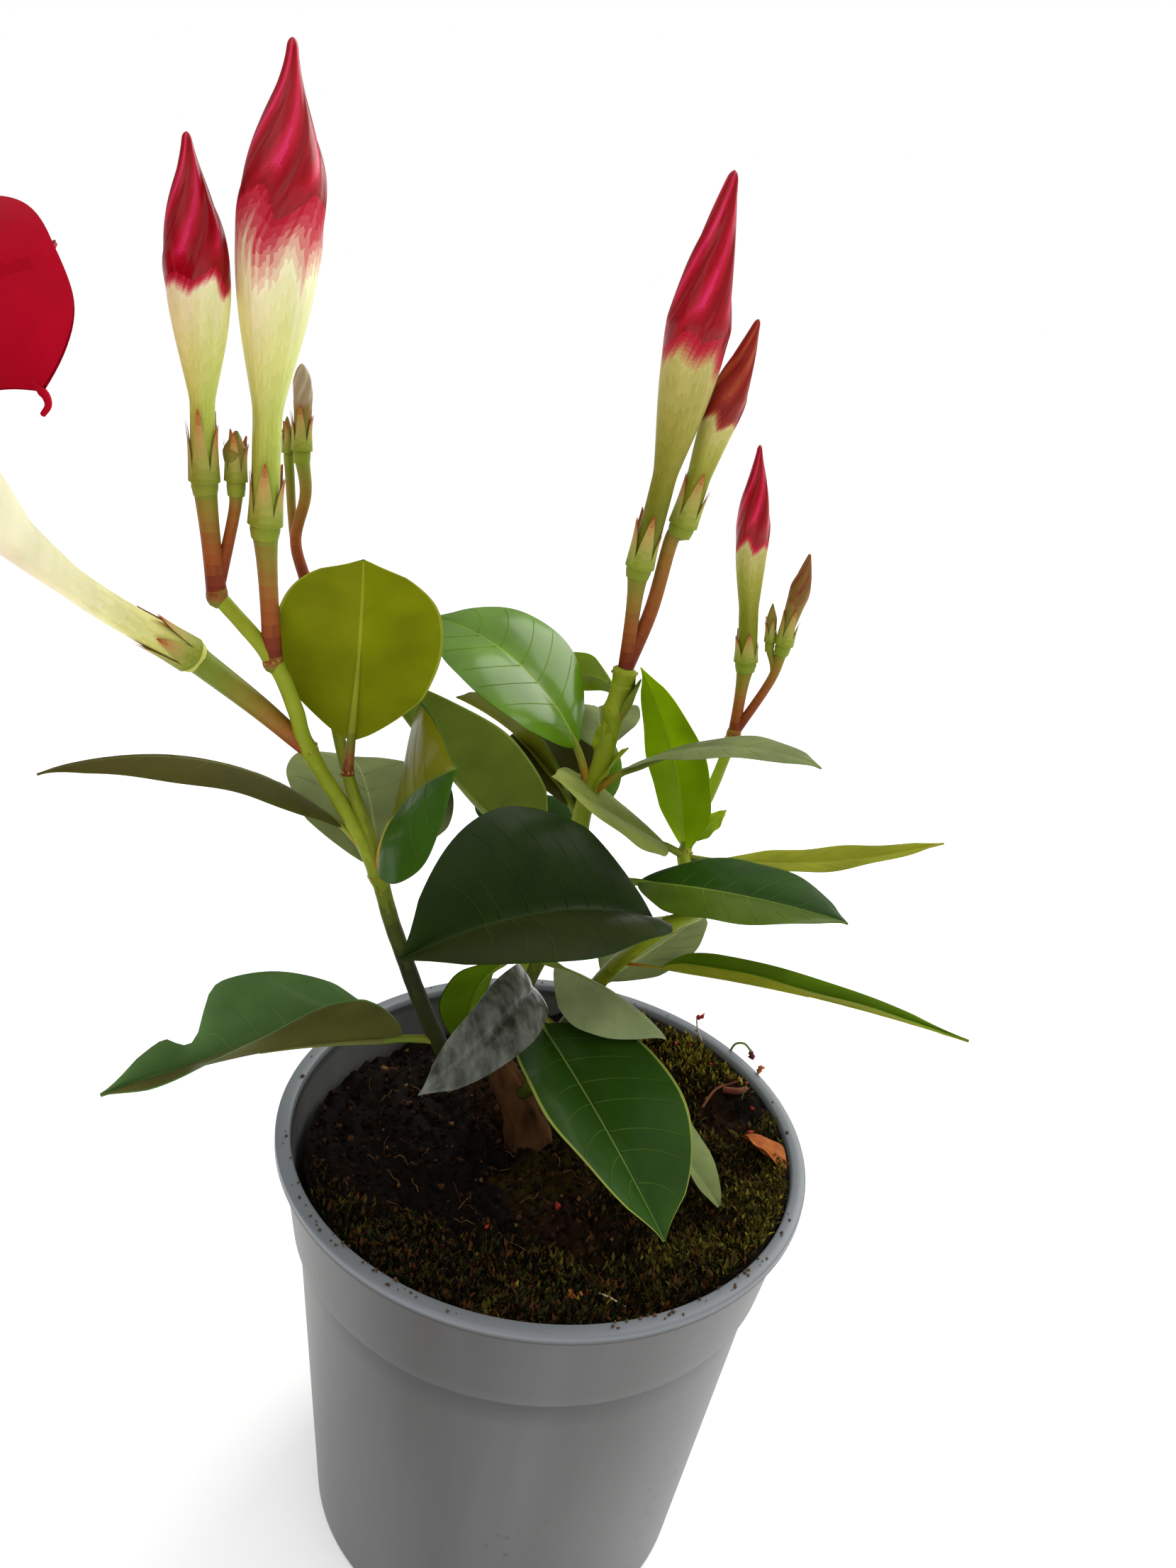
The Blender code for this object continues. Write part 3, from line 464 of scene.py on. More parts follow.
def heading(azimuth, rise):
    turn, lift = math.radians(azimuth), math.radians(rise)
    return np.array([math.cos(lift) * math.cos(turn), math.cos(lift) * math.sin(turn), math.sin(lift)])


def unit(vector):
    return vector / np.linalg.norm(vector, axis=-1, keepdims=True)


def square_to(way, hint=UP):
    """Two axes square to a direction and to each other."""
    side = unit(np.cross(way, hint))
    return side, np.cross(way, side)


def walk(start, steps):
    """The points of a chain of steps (azimuth, rise, length); one that begins with a name notes its node."""
    points = [np.array(start, float)]
    for *name, azimuth, rise, length in steps:
        points.append(points[-1] + heading(azimuth, rise) * length)
        if name:
            NODES[name[0]] = points[-1]
    return points


def nearest(line, place):
    return int(np.argmin(np.linalg.norm(line - place, axis=1)))


def smooth_line(points, step_points=10):
    """Points of a smooth curve through the given ones."""
    padded = [points[0] * 2 - points[1], *points, points[-1] * 2 - points[-2]]
    line = []
    for before, a, b, after in zip(padded, padded[1:], padded[2:], padded[3:]):
        for step in range(step_points):
            t = step / step_points
            line.append((2 * a + (b - before) * t + (2 * before - 5 * a + 4 * b - after) * t * t
                         + (3 * a - before - 3 * b + after) * t ** 3) / 2)
    line.append(points[-1])
    return np.array(line)


def lengths(line):
    return np.concatenate([[0], np.cumsum(np.linalg.norm(np.diff(line, axis=0), axis=1))])


def resample(line, places, marks=None):
    """Points of the line at the given places; marks are the places of its own points, or else their
    distances along it."""
    marks = lengths(line) if marks is None else marks
    return np.stack([np.interp(places, marks, line[:, axis]) for axis in range(3)], 1)


def frames(line):
    """Two cross axes for each point of a line, carried along without turning."""
    ways = unit(np.gradient(line, axis=0))
    side = unit(np.cross(ways[0], UP if abs(ways[0][2]) < 0.9 else np.array([1.0, 0, 0])))
    sides = []
    for way in ways:
        side = unit(side - way * (side @ way))
        sides.append(side)
    sides = np.array(sides)
    return ways, sides, np.cross(ways, sides)


def tube(shape, line, radii, material, around=14, relief=None, closed=True):
    """A round skin along a line; relief(row, angle) scales the radius."""
    ways, sides, ups = frames(line)
    angles = 2 * np.pi * np.arange(around) / around
    radii = np.broadcast_to(np.asarray(radii, float), (len(line),))
    reach = radii[:, None] * np.ones((1, around))
    if relief is not None:
        reach = reach * np.array([[relief(row, angle) for angle in angles] for row in range(len(line))])
    points = (line[:, None] + reach[..., None] * (sides[:, None] * np.cos(angles)[None, :, None]
                                                  + ups[:, None] * np.sin(angles)[None, :, None]))
    if closed:
        cap = line[-1] + ways[-1] * radii[-1] * 0.5
        points = np.concatenate([points, np.broadcast_to(cap, (1, around, 3))])
    shape.grid(points, material, around=True)


# ---------------------------------------------------------------- leaves
def blade_profile(t, widest, full):
    """A blade's half width along it, as a share of its greatest."""
    t = np.clip(t, 0, 1)
    a = np.clip(t / widest, 0, 1)
    low = np.sqrt(np.clip(1 - (1 - a) ** 2, 0, 1)) * (0.55 + 0.45 * np.minimum(1.0, a * 2.2) ** 0.7)
    b = np.clip((t - widest) / (1 - widest), 0, 1)
    high = (1 - b ** full) * (1 - 0.5 * np.clip((b - 0.78) / 0.22, 0, 1))
    return np.where(t < widest, low, high)


def midrib(sizes):
    """The midrib's points, directions and cross axes, from the node to the tip."""
    samples, forward = 96, heading(sizes.azimuth, sizes.rise)
    turn = math.radians(sizes.azimuth)
    level = np.array([-math.sin(turn), math.cos(turn), 0.0])
    upward = np.cross(forward, level)
    roll = math.radians(sizes.roll)
    side = level * math.cos(roll) + upward * math.sin(roll)
    top = upward * math.cos(roll) - level * math.sin(roll)
    t = np.linspace(0, 1, samples + 1)
    a = math.radians(sizes.arch) * (0.5 - t)
    b = math.radians(sizes.sweep) * (0.5 - t)
    ways = (forward * (np.cos(a) * np.cos(b))[:, None] + top * np.sin(a)[:, None]
            + side * (np.cos(a) * np.sin(b))[:, None])
    steps = (ways[1:] + ways[:-1]) / 2 * sizes.length / samples
    places = np.concatenate([[NODES[sizes.at]], NODES[sizes.at] + np.cumsum(steps, axis=0)])
    cross = unit(side - ways * (ways @ side)[:, None])
    return places, unit(ways), cross, np.cross(unit(ways), cross)


def blade_points(sizes, along, across, lift):
    """Points of the blade's mid surface, lifted along its own normal, at shares along and across."""
    places, _, cross, top = sizes.rows
    t = np.clip(sizes.stalk + (1 - sizes.stalk) * along, 0, 1) * (len(places) - 1)
    first = np.minimum(t.astype(int), len(places) - 2)
    share = (t - first)[..., None]
    place = places[first] * (1 - share) + places[first + 1] * share
    side = unit(cross[first] * (1 - share) + cross[first + 1] * share)
    face = unit(top[first] * (1 - share) + top[first + 1] * share)
    twist = (math.radians(sizes.twist) * (along - 0.5))[..., None]
    side, face = side * np.cos(twist) + face * np.sin(twist), face * np.cos(twist) - side * np.sin(twist)
    half = sizes.width / 2 * blade_profile(along, sizes.widest, sizes.full)
    if sizes.notch:
        middle, depth, reach, edge = sizes.notch
        beyond = (along - middle) / reach
        bite = depth * np.exp(-beyond ** 2) + 0.35 * np.clip(beyond, 0, 1)
        half = half * (1 - np.minimum(bite, 0.9) * (np.sign(across) == edge))
    fold = math.radians(sizes.fold)
    sign = np.sign(across)[..., None]
    size = np.abs(across)
    outward = side * sign * math.cos(fold) + face * math.sin(fold)
    normal = face * math.cos(fold) - side * sign * math.sin(fold)
    belly = 0.10 * half * size * (1 - size) * 2
    ripple = sizes.wave * size ** 2 * np.sin(along * 17 + sign[..., 0] * 1.3 + sizes.length)
    ripple = ripple * np.sin(np.pi * np.clip(along, 0, 1))
    crease = -0.22 * np.exp(-(size * half / 0.5) ** 2)
    wave = np.cos(2 * np.pi * vein_pairs(sizes) * (along - 0.16 * size ** 1.3))
    quilt = -0.10 * np.clip(wave, 0, 1) ** 6 * np.clip(size * 6, 0, 1) * (1 - size)
    rise = (belly + ripple + crease + quilt + lift)[..., None]
    return place + outward * (size * half)[..., None] + normal * rise


def lit_and_shaded_halves(sizes):
    """The colours of the two halves of a leaf's upper face, which stand for painted light, sheen and shade on
    the two sides of its fold.
    """
    return (sizes.upper, sizes.upper) if isinstance(sizes.upper, str) else sizes.upper


def leaf_piece(shape, sizes):
    """One leaf: both faces of its blade, its edge, midrib, side veins and stalk."""
    sizes.rows = midrib(sizes)
    rows, columns, skin = 44, 9, 0.22
    first, second = lit_and_shaded_halves(sizes)
    upper, far_half_shading, under = green(first, sizes.gloss), green(second, sizes.gloss), green(sizes.under)
    rib, rib_under = green(first, 0.0, sizes.rib), green(sizes.under, 0.0, 0.3)
    along = 0.004 + 0.99 * np.linspace(0, 1, rows) ** 1.05
    half = np.maximum(sizes.width / 2 * blade_profile(along, sizes.widest, sizes.full), 0.2)
    rib_share = np.clip((0.42 - 0.34 * along) / half, 0, 0.5)
    steps = np.append(np.linspace(0, 0.965, columns), 1.0)
    right = rib_share[:, None] + (1 - rib_share[:, None]) * steps[None]
    across = np.concatenate([-right[:, ::-1], right], 1)
    grid_along = np.broadcast_to(along[:, None], across.shape)
    thin = skin * (1 - 0.7 * np.abs(across) ** 4)
    top = blade_points(sizes, grid_along, across, thin)
    low = blade_points(sizes, grid_along, across, -thin)
    edge = green(sizes.under, 0.0, 0.35) if sizes.margin else upper
    middle, last = len(steps) - 1, 2 * len(steps) - 2

    # The two halves of the upper face take their own tones, as painted light, sheen and shade.
    def upper_paint(row, column):
        return rib if column == middle else edge if column in (0, last) else upper if column < middle else far_half_shading

    def under_paint(row, column):
        return rib_under if column == middle else edge if column in (0, last) else under

    shape.grid(top, upper_paint)
    shape.grid(low[:, ::-1], under_paint)
    for border in (0, -1):
        rim = np.stack([top[:, border], low[:, border]], 1)
        shape.grid(rim if border else rim[:, ::-1], edge)
    for end in (0, -1):
        shape.grid(np.stack([top[end], low[end]]), upper)
    side_veins(shape, sizes)
    stalk_piece(shape, sizes, rib_under)


def stalk_piece(shape, sizes, rib):
    """The leaf's stalk, which runs on under the blade as its raised rib."""
    end = sizes.stalk + 0.5 * (1 - sizes.stalk)
    t, marks = np.linspace(0, end, 26), np.linspace(0, 1, len(sizes.rows[0]))
    line, up = [resample(row, t, marks) for row in (sizes.rows[0], sizes.rows[3])]
    sunk = np.clip((t - sizes.stalk) / 0.08, 0, 1)[:, None]
    thick = min(1.0, sizes.width / 24)
    radii = np.interp(t, [0, 0.03, sizes.stalk, end], [1.35 * thick, thick, 0.85 * thick, 0.25])
    stem = run(sizes.stem)

    def stalk_paint(row, column):
        place = t[min(row, len(t) - 1)] / max(sizes.stalk + 0.04, 0.08)
        return rib if place > 1 else pick_shade(stem, place, row, column)

    tube(shape, line - up * sunk * (radii[:, None] * 0.85), radii, stalk_paint, around=10)


def vein_pairs(sizes):
    return max(5, round(sizes.length / 7))


def side_veins(shape, sizes):
    """Pale side veins, as thin ribbons on the upper face that bend towards the tip."""
    if sizes.veins <= 0 or sizes.length < 30:
        return
    pairs, q = vein_pairs(sizes), np.linspace(0.03, 0.92, 12)
    for sign, tone in zip((-1, 1), lit_and_shaded_halves(sizes)):
        vein = green(tone, 0.0, round(min(0.5, 0.08 + 0.42 * sizes.veins), 2))
        for number in range(1, pairs):
            start = number / pairs - 0.02 + 0.012 * math.sin(number * 2.7 + sign)
            along = start + 0.16 * q ** 1.3
            if along[-1] > 0.95:
                continue
            width = (0.0035 + 0.003 * sizes.veins) * (1 - 0.7 * q) * 45 / sizes.length
            ribbon = np.stack([along - width, along + width], 1)
            across = sign * np.broadcast_to(q[:, None], ribbon.shape)
            points = blade_points(sizes, ribbon, across, np.full(ribbon.shape, 0.245))
            shape.grid(points if sign > 0 else points[:, ::-1], vein)


# ---------------------------------------------------------------- buds and the open flower
def bud_girth(t, neck, nose, blunt):
    """Radius of a bud as a share of its greatest: narrow tube, swollen part, blunt tip."""
    swell = np.sin(np.pi / 2 * np.clip((t - 0.27) / 0.38, 0, 1)) ** 1.15
    body = neck + (1 - neck) * swell
    point = np.clip((t - 0.65) / 0.35, 0, 1)
    straight = 1 - point ** blunt
    waisted = (1 + np.cos(np.pi * point ** 1.3)) / 2
    tip = BUD_TIP + (1 - BUD_TIP) * (straight + (waisted - straight) * nose)
    round_end = np.sqrt(np.clip(1 - (np.clip(point - 0.95, 0, 1) / 0.05) ** 2, 0.0001, 1))
    return np.where(t > 0.65, tip * round_end, body)


def bud_piece(shape, stems, sizes, phase):
    """One bud: stalk, sepals, pale tube and the furled cap, whose lobes overlap in a spiral."""
    line = smooth_line(walk(NODES[sizes.at], sizes.stalk), 10)
    share = np.linspace(0, 1, len(line))
    swell = 1.06 * sizes.radius * sizes.neck + 0.12
    radii = sizes.stalk_radius * (1.32 - 0.12 * np.sin(np.pi * share))
    radii = radii + (max(0.9 * swell, radii[-1]) - radii) * np.exp(-(1 - share) * lengths(line)[-1] / 3.0)
    tone = run("pedicel")
    tube(stems, line, radii,
         lambda row, column: pick_shade(tone, share[min(row, len(share) - 1)], row * 0.3, column))
    foot, way = line[-1], heading(sizes.azimuth, sizes.rise)
    side, other = square_to(way, (0.0, 1.0, 0.0))
    lobes, per = LOBES, 15
    columns = lobes * per
    u = np.arange(columns) / columns
    cap, fade = sizes.cap, sizes.fade
    teeth = 0.045 * np.abs(((u * lobes + 0.3) % 1) - 0.5) * 2 + 0.014 * np.sin(u * 6 * np.pi + phase)
    ring = [Vector((math.cos(v * 6.28) * 9, math.sin(v * 6.28) * 9, phase)) for v in u]
    grain = np.array([noise.noise(spot) for spot in ring])
    boundary = cap - 0.02 + teeth + 0.010 * grain
    low, middle, high = 34, 24, 46
    foot_of_fade = boundary - fade * (0.7 + 0.6 * (grain + 0.5))
    heights = np.concatenate([
        foot_of_fade[None] * np.linspace(0, 1, low)[:, None] ** 0.9,
        foot_of_fade + (boundary - foot_of_fade)[None] * np.linspace(0, 1, middle + 1)[1:, None],
        boundary[None] + (1 - boundary)[None] * (1 - (1 - np.linspace(0, 1, high + 1)[1:, None]) ** 1.2)])
    turns = 0.36 * np.clip((heights - cap + 0.08) / (1.08 - cap), 0, 1) ** 1.2
    angles = 2 * np.pi * (u[None] + turns)
    reach = sizes.radius * bud_girth(heights, sizes.neck, sizes.nose, sizes.blunt)
    furl = np.clip((heights - cap + 0.05) / 0.10, 0, 1) * np.clip((1.02 - heights) / 0.2, 0, 1)
    saw = (u * lobes) % 1
    step = np.clip(saw / 0.12, 0, 1) - saw
    reach = reach * (1 + 0.11 * furl * (step[None] - 0.35))
    reach = reach * (1 + 0.03 * (1 - furl) * np.cos(2 * np.pi * lobes * u + phase)[None])
    reach = np.maximum(reach, 0.05)
    sway = 0.08 * sizes.radius * np.sin(heights * 5.0 + phase)
    points = (foot + way * (sizes.length * heights)[..., None]
              + side * (np.cos(angles) * reach + sway)[..., None]
              + other * (np.sin(angles) * reach)[..., None])
    tube_run, cap_run, fade_run = run(sizes.tube), run(sizes.tip), blend_run(sizes.tube, sizes.tip)

    def bud_paint(row, column):
        if row < low:
            return pick_shade(tube_run, row / low, row, column)
        if row < low + middle:
            return pick_shade(fade_run, (row - low) / middle, row * 0.4, column * 1.6, 1.2)
        # Painted shade and highlight on the cap: the seams between lobes take a dark red as painted shade,
        # and across each lobe the red runs from painted shade to a painted highlight.
        if column % per == 0 and row > low + middle + 3:
            return cap_run[1]
        painted_highlight = math.exp(-((saw[column] - 0.62) / 0.2) ** 2) * min(1, (row - low - middle) / 6)
        return pick_shade(cap_run, 0.22 + 0.75 * painted_highlight, row, column)

    shape.grid(points, bud_paint, around=True)
    sepal_ring(shape, foot, way, side, other, sizes.radius * sizes.neck, sizes.sepals, radii[-1])


def sepal_ring(shape, foot, way, side, other, radius, long, stalk_radius):
    """The green foot of a flower and its five narrow sepals, which hug the tube."""
    tones = run("sepal")
    swell = 1.10 * radius + 0.12
    rise = np.array([-1.2, -0.5, 0.2, 0.9, 1.7, 2.8, 3.8])
    girth = np.array([0.99 * stalk_radius, stalk_radius + (swell - stalk_radius) * 0.3,
                      stalk_radius + (swell - stalk_radius) * 0.68, swell * 0.95, swell, swell * 0.96,
                      radius * 0.9])
    angles = 2 * np.pi * np.arange(30) / 30
    cup = (foot + way * rise[:, None, None]
           + (side * np.cos(angles)[:, None] + other * np.sin(angles)[:, None])[None] * girth[:, None, None])
    shape.grid(cup, tones[0], around=True)
    t, v = np.linspace(0, 1, 15), np.linspace(-1, 1, 7)
    for number in range(5):
        turn = 2 * np.pi * (number + 0.35) / 5
        out = side * math.cos(turn) + other * math.sin(turn)
        level = np.cross(way, out)
        height = 1.2 + t * long * (1 + 0.14 * math.sin(number * 2.1))
        flare = radius + 0.12 + (swell - radius) * (1 - t) + 0.7 * t ** 4
        half = swell * 0.66 * (1 - t ** 1.5) + 0.05
        bend = half[:, None] * v[None] / swell
        keel = 0.12 * (1 - np.abs(v[None])) * (1 - t[:, None])
        reach = flare[:, None] + keel

        def sepal(lift):
            return (foot + way * height[:, None, None] + out * (np.cos(bend) * (reach + lift))[..., None]
                    + level * (np.sin(bend) * (reach + lift))[..., None])

        shape.sheet(sepal, 0.12, lambda row, column: pick_shade(tones, row / 13, row, column + number * 9))


def flower_piece(shape, stems):
    """The open flower: stalk, pale tube, yellow throat and five spreading lobes."""
    stalk = walk(NODES[FLOWER_AT], FLOWER_STALK)
    line = smooth_line(stalk, 10)
    tone = run("pedicel")
    tube(stems, line, np.linspace(1.6, 2.4, len(line)),
         lambda row, column: pick_shade(tone, row / len(line) + 0.25, row, column))
    throat = smooth_line(walk(stalk[-1], FLOWER_TUBE), 16)
    gone = lengths(throat) / lengths(throat)[-1]
    radii = np.interp(gone, np.linspace(0, 1, len(FLOWER_RADII)), FLOWER_RADII)
    pale, gold = run("ivory"), run("throat")
    ribs = lambda row, angle: 1 + 0.04 * math.cos(5 * angle) * min(1, row / 10)
    tube(shape, throat, radii,
         lambda row, column: pick_shade(pale, 0.2 + row / len(throat), row * 0.3, column),
         around=40, relief=ribs, closed=False)
    tube(shape, throat[10:], np.maximum(radii[10:] - 0.5, 0.5), gold[0], around=40, closed=False)
    way = unit(throat[1] - throat[0])
    sepal_ring(shape, stalk[-1], way, *square_to(way), 2.6, 10.5, 2.4)
    for number in range(LOBES):
        lobe_piece(shape, throat[-1], number)


def lobe_piece(shape, mouth, number):
    """One lobe of the open flower: a satin fan that flares and curls back, with fine streaks."""
    axis = heading(*FLOWER_FACING)
    first = unit(np.cross(UP, axis))
    second = np.cross(axis, first)
    rows, columns, samples = 36, 40, 24
    s = np.linspace(0, 1, rows)[:, None]
    v = np.linspace(-1, 1, columns)[None]
    start, spread, curl = LOBE_FLARE
    fall = np.where(v < LOBE_CROWN, *LOBE_FALL)
    reach = s * (1 - fall * (np.abs(v - LOBE_CROWN) / (1 + abs(LOBE_CROWN))) ** 3)
    out, up = np.full((rows, columns), LOBE_ROOT[0]), np.full((rows, columns), LOBE_ROOT[1])
    for step in range(samples):
        u = reach * (step + 0.5) / samples
        angle = np.radians(start + (spread - start) * np.minimum(1.0, u / 0.35)
                           + curl * np.clip((u - 0.35) / 0.65, 0, 1) ** 1.5)
        out = out + np.sin(angle) * LOBE_LENGTH * reach / samples
        up = up + np.cos(angle) * LOBE_LENGTH * reach / samples
    drawn = v * (1 - LOBE_WAIST * np.sin(np.pi * s) * (v < 0))
    turn = np.radians(LOBE_TURN + 360 / LOBES * number + np.where(v < 0, *LOBE_HALF) * drawn)
    outward = first * np.cos(turn)[..., None] + second * np.sin(turn)[..., None]
    flute = 0.10 * np.cos(v * 30) * (1 - s) + 0.25 * np.sin(v * 7 + number) * s * s
    middle = mouth + outward * out[..., None] + axis * (up + LOBE_LIFT * v * s)[..., None]
    normal = axis * np.sin(angle)[..., None] - outward * np.cos(angle)[..., None]
    red, gold = run("satin"), run("throat")
    for lift in (0.2, -0.2):
        points = middle + normal * (flute + lift)[..., None]
        shape.grid(points if lift < 0 else points[:, ::-1],
                   lambda row, column: gold[1] if row < 2 and lift > 0
                   else pick_shade(red, 0.75 if lift < 0 else 0.5, row * 0.4, column * 0.5 + number * 31))
    if number == 1:
        return
    corner, inward = middle[-1, 0], middle[-3, 1]
    beyond = unit(corner - inward)
    across = unit(np.cross(beyond, normal[-1, 0]))
    tail = [inward, corner, corner + beyond * 1.0, corner + beyond * 1.9 + across * 0.5,
            corner + beyond * 2.2 + across * 1.7]
    radii = np.interp(np.linspace(0, 1, 21), [0, 0.3, 0.8, 1], [0.3, 0.55, 0.38, 0.32])
    tube(shape, smooth_line(tail, 5), radii, red[2], around=8)


# ---------------------------------------------------------------- stems
def shoot_line(name):
    start, steps, _ = SHOOTS[name]
    root = trunk_line()
    return smooth_line(walk(resample(root, [lengths(root)[-1] * start])[0], steps))


def trunk_line():
    return smooth_line(walk(TRUNK_FOOT, TRUNK_STEPS), 14)


SWOLLEN = {"left_1", "left_3", "left_5", "middle_1", "middle_3", "middle_5", "right_1", "right_3", "right_4",
           "right_5", "base_1", "base_3", "inner_2", "inner_4", "middle_6", "right_6"}
BRIGHT_FROM = {"left": (150, 185), "middle": (118, 168), "right": (108, 160), "base": (110, 140)}   # mm


def stem_paint(shoot, height, row, column):
    """Stems are dark low down and bright yellow-green towards the tip."""
    low, high = BRIGHT_FROM[shoot]
    return pick_shade(run("stem"), (height - low) / (high - low), row * 2, column)


def stems_of(shoot, shapes):
    """Draws a shoot, handing each stretch to the piece that owns it."""
    line = shoot_line(shoot)
    long = lengths(line)[-1]
    places = np.arange(0, long, 0.8)
    fine = resample(line, places)
    names = [step[0] for step in SHOOTS[shoot][1]]
    at = {name: places[nearest(fine, NODES[name])] for name in names}
    swollen = [name for name in names if name in SWOLLEN]
    radii = np.interp(places, [0, long], SHOOTS[shoot][2])
    for name in swollen:
        radii = radii * (1 + 0.22 * np.exp(-((places - at[name]) / 1.6) ** 2))
    starts = [at[below] - NODE_LEAD if below else 0.0 for _, below in PIECES[shoot]] + [long + 1]
    rough = lambda row, angle: 1 + 0.03 * math.sin(angle * 3 + row * 0.21) + 0.012 * math.sin(row * 0.9)
    for (name, _), start, end in zip(PIECES[shoot], starts, starts[1:]):
        pick = (places >= start - 0.9) & (places <= end + 0.1)
        part = fine[pick]
        tube(shapes[name], part, radii[pick],
             lambda row, column: stem_paint(shoot, part[min(row, len(part) - 1)][2], row, column),
             around=16, relief=rough)
    for name in swollen:
        owner = [piece for (piece, _), start in zip(PIECES[shoot], starts) if start <= at[name]][-1]
        node_ring(shapes[owner], fine, radii, NODES[name])


def knuckle(shape, place, radius):
    """The swollen joint that flower stalks spring from."""
    t = np.linspace(-1, 1, 9)
    line = place + UP * (t * radius * 1.3)[:, None]
    tone = run("russet")
    tube(shape, line, radius * np.sqrt(np.clip(1.02 - t ** 2, 0.02, 1)),
         lambda row, column: pick_shade(tone, 0.3 + 1.2 * abs(row / 8 - 0.5), row, column), around=16)


def node_ring(shape, line, radii, place):
    """The scar of small brown glands round a node."""
    near = min(max(nearest(line, place), 1), len(line) - 2)
    way = unit(line[near + 1] - line[near - 1])
    side, other = square_to(way, (1.0, 0.2, 0.0))
    ring_paint = run("amber")[2]
    for number in range(8):
        turn = 2 * np.pi * (number + 0.3 * math.sin(number * 5)) / 8
        out = side * math.cos(turn) + other * math.sin(turn)
        foot = line[near] + out * radii[near] * 0.98 + way * (0.4 * math.sin(number * 2.4))
        tube(shape, np.array([foot, foot + out * 0.15 + way * 0.3, foot + out * 0.22 + way * 0.7]),
             [0.22, 0.18, 0.06], ring_paint, around=5)


def bract_piece(shape, place, azimuth, rise, length, width, name):
    """A small scale leaf on a flower stalk."""
    way = heading(azimuth, rise)
    side, down = square_to(way)
    t, v = np.linspace(0, 1, 8), np.linspace(-1, 1, 5)
    half = width / 2 * np.sin(np.pi * np.clip(t * 0.92 + 0.06, 0, 1)) ** 0.8
    across, curl = half[:, None] * v, 0.25 * length * t[:, None] ** 2 + 0.6 * half[:, None] * v ** 2
    shape.sheet(lambda lift: place + way * (t * length)[:, None, None] + side * across[..., None]
                - down * (curl + lift)[..., None],
                0.1, lambda row, column: pick_shade(run(name), row / 7, row, column))


# ---------------------------------------------------------------- soil
BARKS = (26, 17, 10), (46, 29, 17), (66, 42, 24), (16, 11, 7), (104, 74, 44)
# the golden moss tone is picked where the moss is lit, as painted light; the two darkest where it is dim, as
# painted shade
MOSSES = (60, 50, 18), (84, 78, 26), (146, 130, 44), (88, 54, 24), (40, 46, 18), (24, 20, 10)


def clamp(value):
    return max(0.0, min(1.0, value))


def soil_height(x, y):
    """The ground's height: the solid's own surface, with lumps of peat and the bank of moss on top."""
    share = clamp(math.hypot(x - TRUNK_FOOT[0], y - TRUNK_FOOT[1]) / SOIL_PATCH - 1)
    bumps = math.sin(x * 0.210 + 1.1) * math.cos(y * 0.170 + 0.4)
    level = SOIL_TOP + share * (SOIL_BUMP * bumps - SOIL_FALL * y)
    spot = Vector((x * 0.13, y * 0.13, 1.7))
    lumps = noise.fractal(spot, 0.6, 2.2, 6) * 2.2 + abs(noise.noise(spot * 2.7)) * 2.2
    return min(level + lumps - 0.6 + bank(x, y), POT_HEIGHT - 1.0)


def bank(x, y):
    """How far the cushion of moss at the right and back of the rim stands above the soil."""
    away = clamp((math.hypot(x, y) - 24) / 28)
    turn = abs(math.degrees(math.atan2(y, x)) - BANK_TURN)
    return BANK_HEIGHT * away ** 1.5 * clamp((88 - turn) / 40)


def outward(x, y):
    """Shifts a point near the rim outward, as the pot widens where the soil stands higher."""
    share = max(0.0, (math.hypot(x, y) - 42) / 11.5) * min(1.0, bank(x, y) / 6)
    return x * (1 + 0.050 * share), y * (1 + 0.050 * share)


def on_ground(x, y, above=0.0):
    return x, y, soil_height(x, y) + above


def anywhere(rng, reach):
    """A random place within a radius of the pot's axis."""
    turn, away = rng.uniform(0, 2 * math.pi), reach * math.sqrt(rng.random())
    return away * math.cos(turn), away * math.sin(turn)


def moss_amount(x, y):
    """How mossy the ground is, from 0 to 1: most at the right and at the front."""
    drift = noise.noise(Vector((x * 0.055, y * 0.055, 9.2))) * 0.5
    bare = math.exp(-((x + 22) ** 2 + (y + 6) ** 2) / 300) + math.exp(-((x - 44) ** 2 + (y - 17) ** 2) / 70)
    return clamp(0.55 * max((x - 4) / 34, (-y - 22) / 22) + drift + 0.1 - bare)


def ground_piece():
    """The lumpy surface, with the ball of peat that fills the pot below it."""
    finish = dict(rough=0.95, bump=0.9, grain=1500, spec=0.04)
    peat = paint("peat", (18, 12, 7), second=(48, 31, 18), scale=420, **finish)
    mossy = paint("moss_ground", (26, 20, 8), second=(56, 44, 14), scale=520, **finish)
    # near-black peat, painted shade for the ground under the foliage
    painted_shade_peat = paint("peat_painted_shade", (7, 5, 3), rough=0.85, second=(24, 16, 10), scale=500, bump=0.9, grain=1700,
                 spec=0.08)
    shape, rings, around = Shape(), 80, 200
    turns = 2 * np.pi * np.arange(around) / around
    points = np.zeros((rings + 1, around, 3))
    for ring in range(rings + 1):
        for spoke, turn in enumerate(turns):
            away = SOIL_REACH * (ring / rings) ** 0.9
            x, y = away * math.cos(turn), away * math.sin(turn)
            points[ring, spoke] = (*outward(x, y), soil_height(x, y))

    def ground_paint(ring, spoke):
        x, y, _ = points[ring, spoke]
        if moss_amount(x, y) > 0.42:
            return mossy
        # the patch left of the stem is painted shade under the foliage
        return painted_shade_peat if (x + 20) ** 2 + (y + 8) ** 2 < 800 else peat

    shape.grid(points[::-1], ground_paint, around=True)
    step = POT_HEIGHT - COLLAR_DEPTH
    outline = ((SOIL_REACH, step), (BODY_TOP_RADIUS - 1.8, step - 1.2), (BODY_FOOT_RADIUS - 1.6, 2.3),
               (0.4, 2.3))
    rows = [points[-1]]
    for radius, height in outline:
        rows.append(np.stack([radius * np.cos(turns), radius * np.sin(turns), np.full(around, height)], 1))
    shape.grid(np.stack(rows), peat, around=True)
    shape.piece("soil_ground", "soil", "soil")


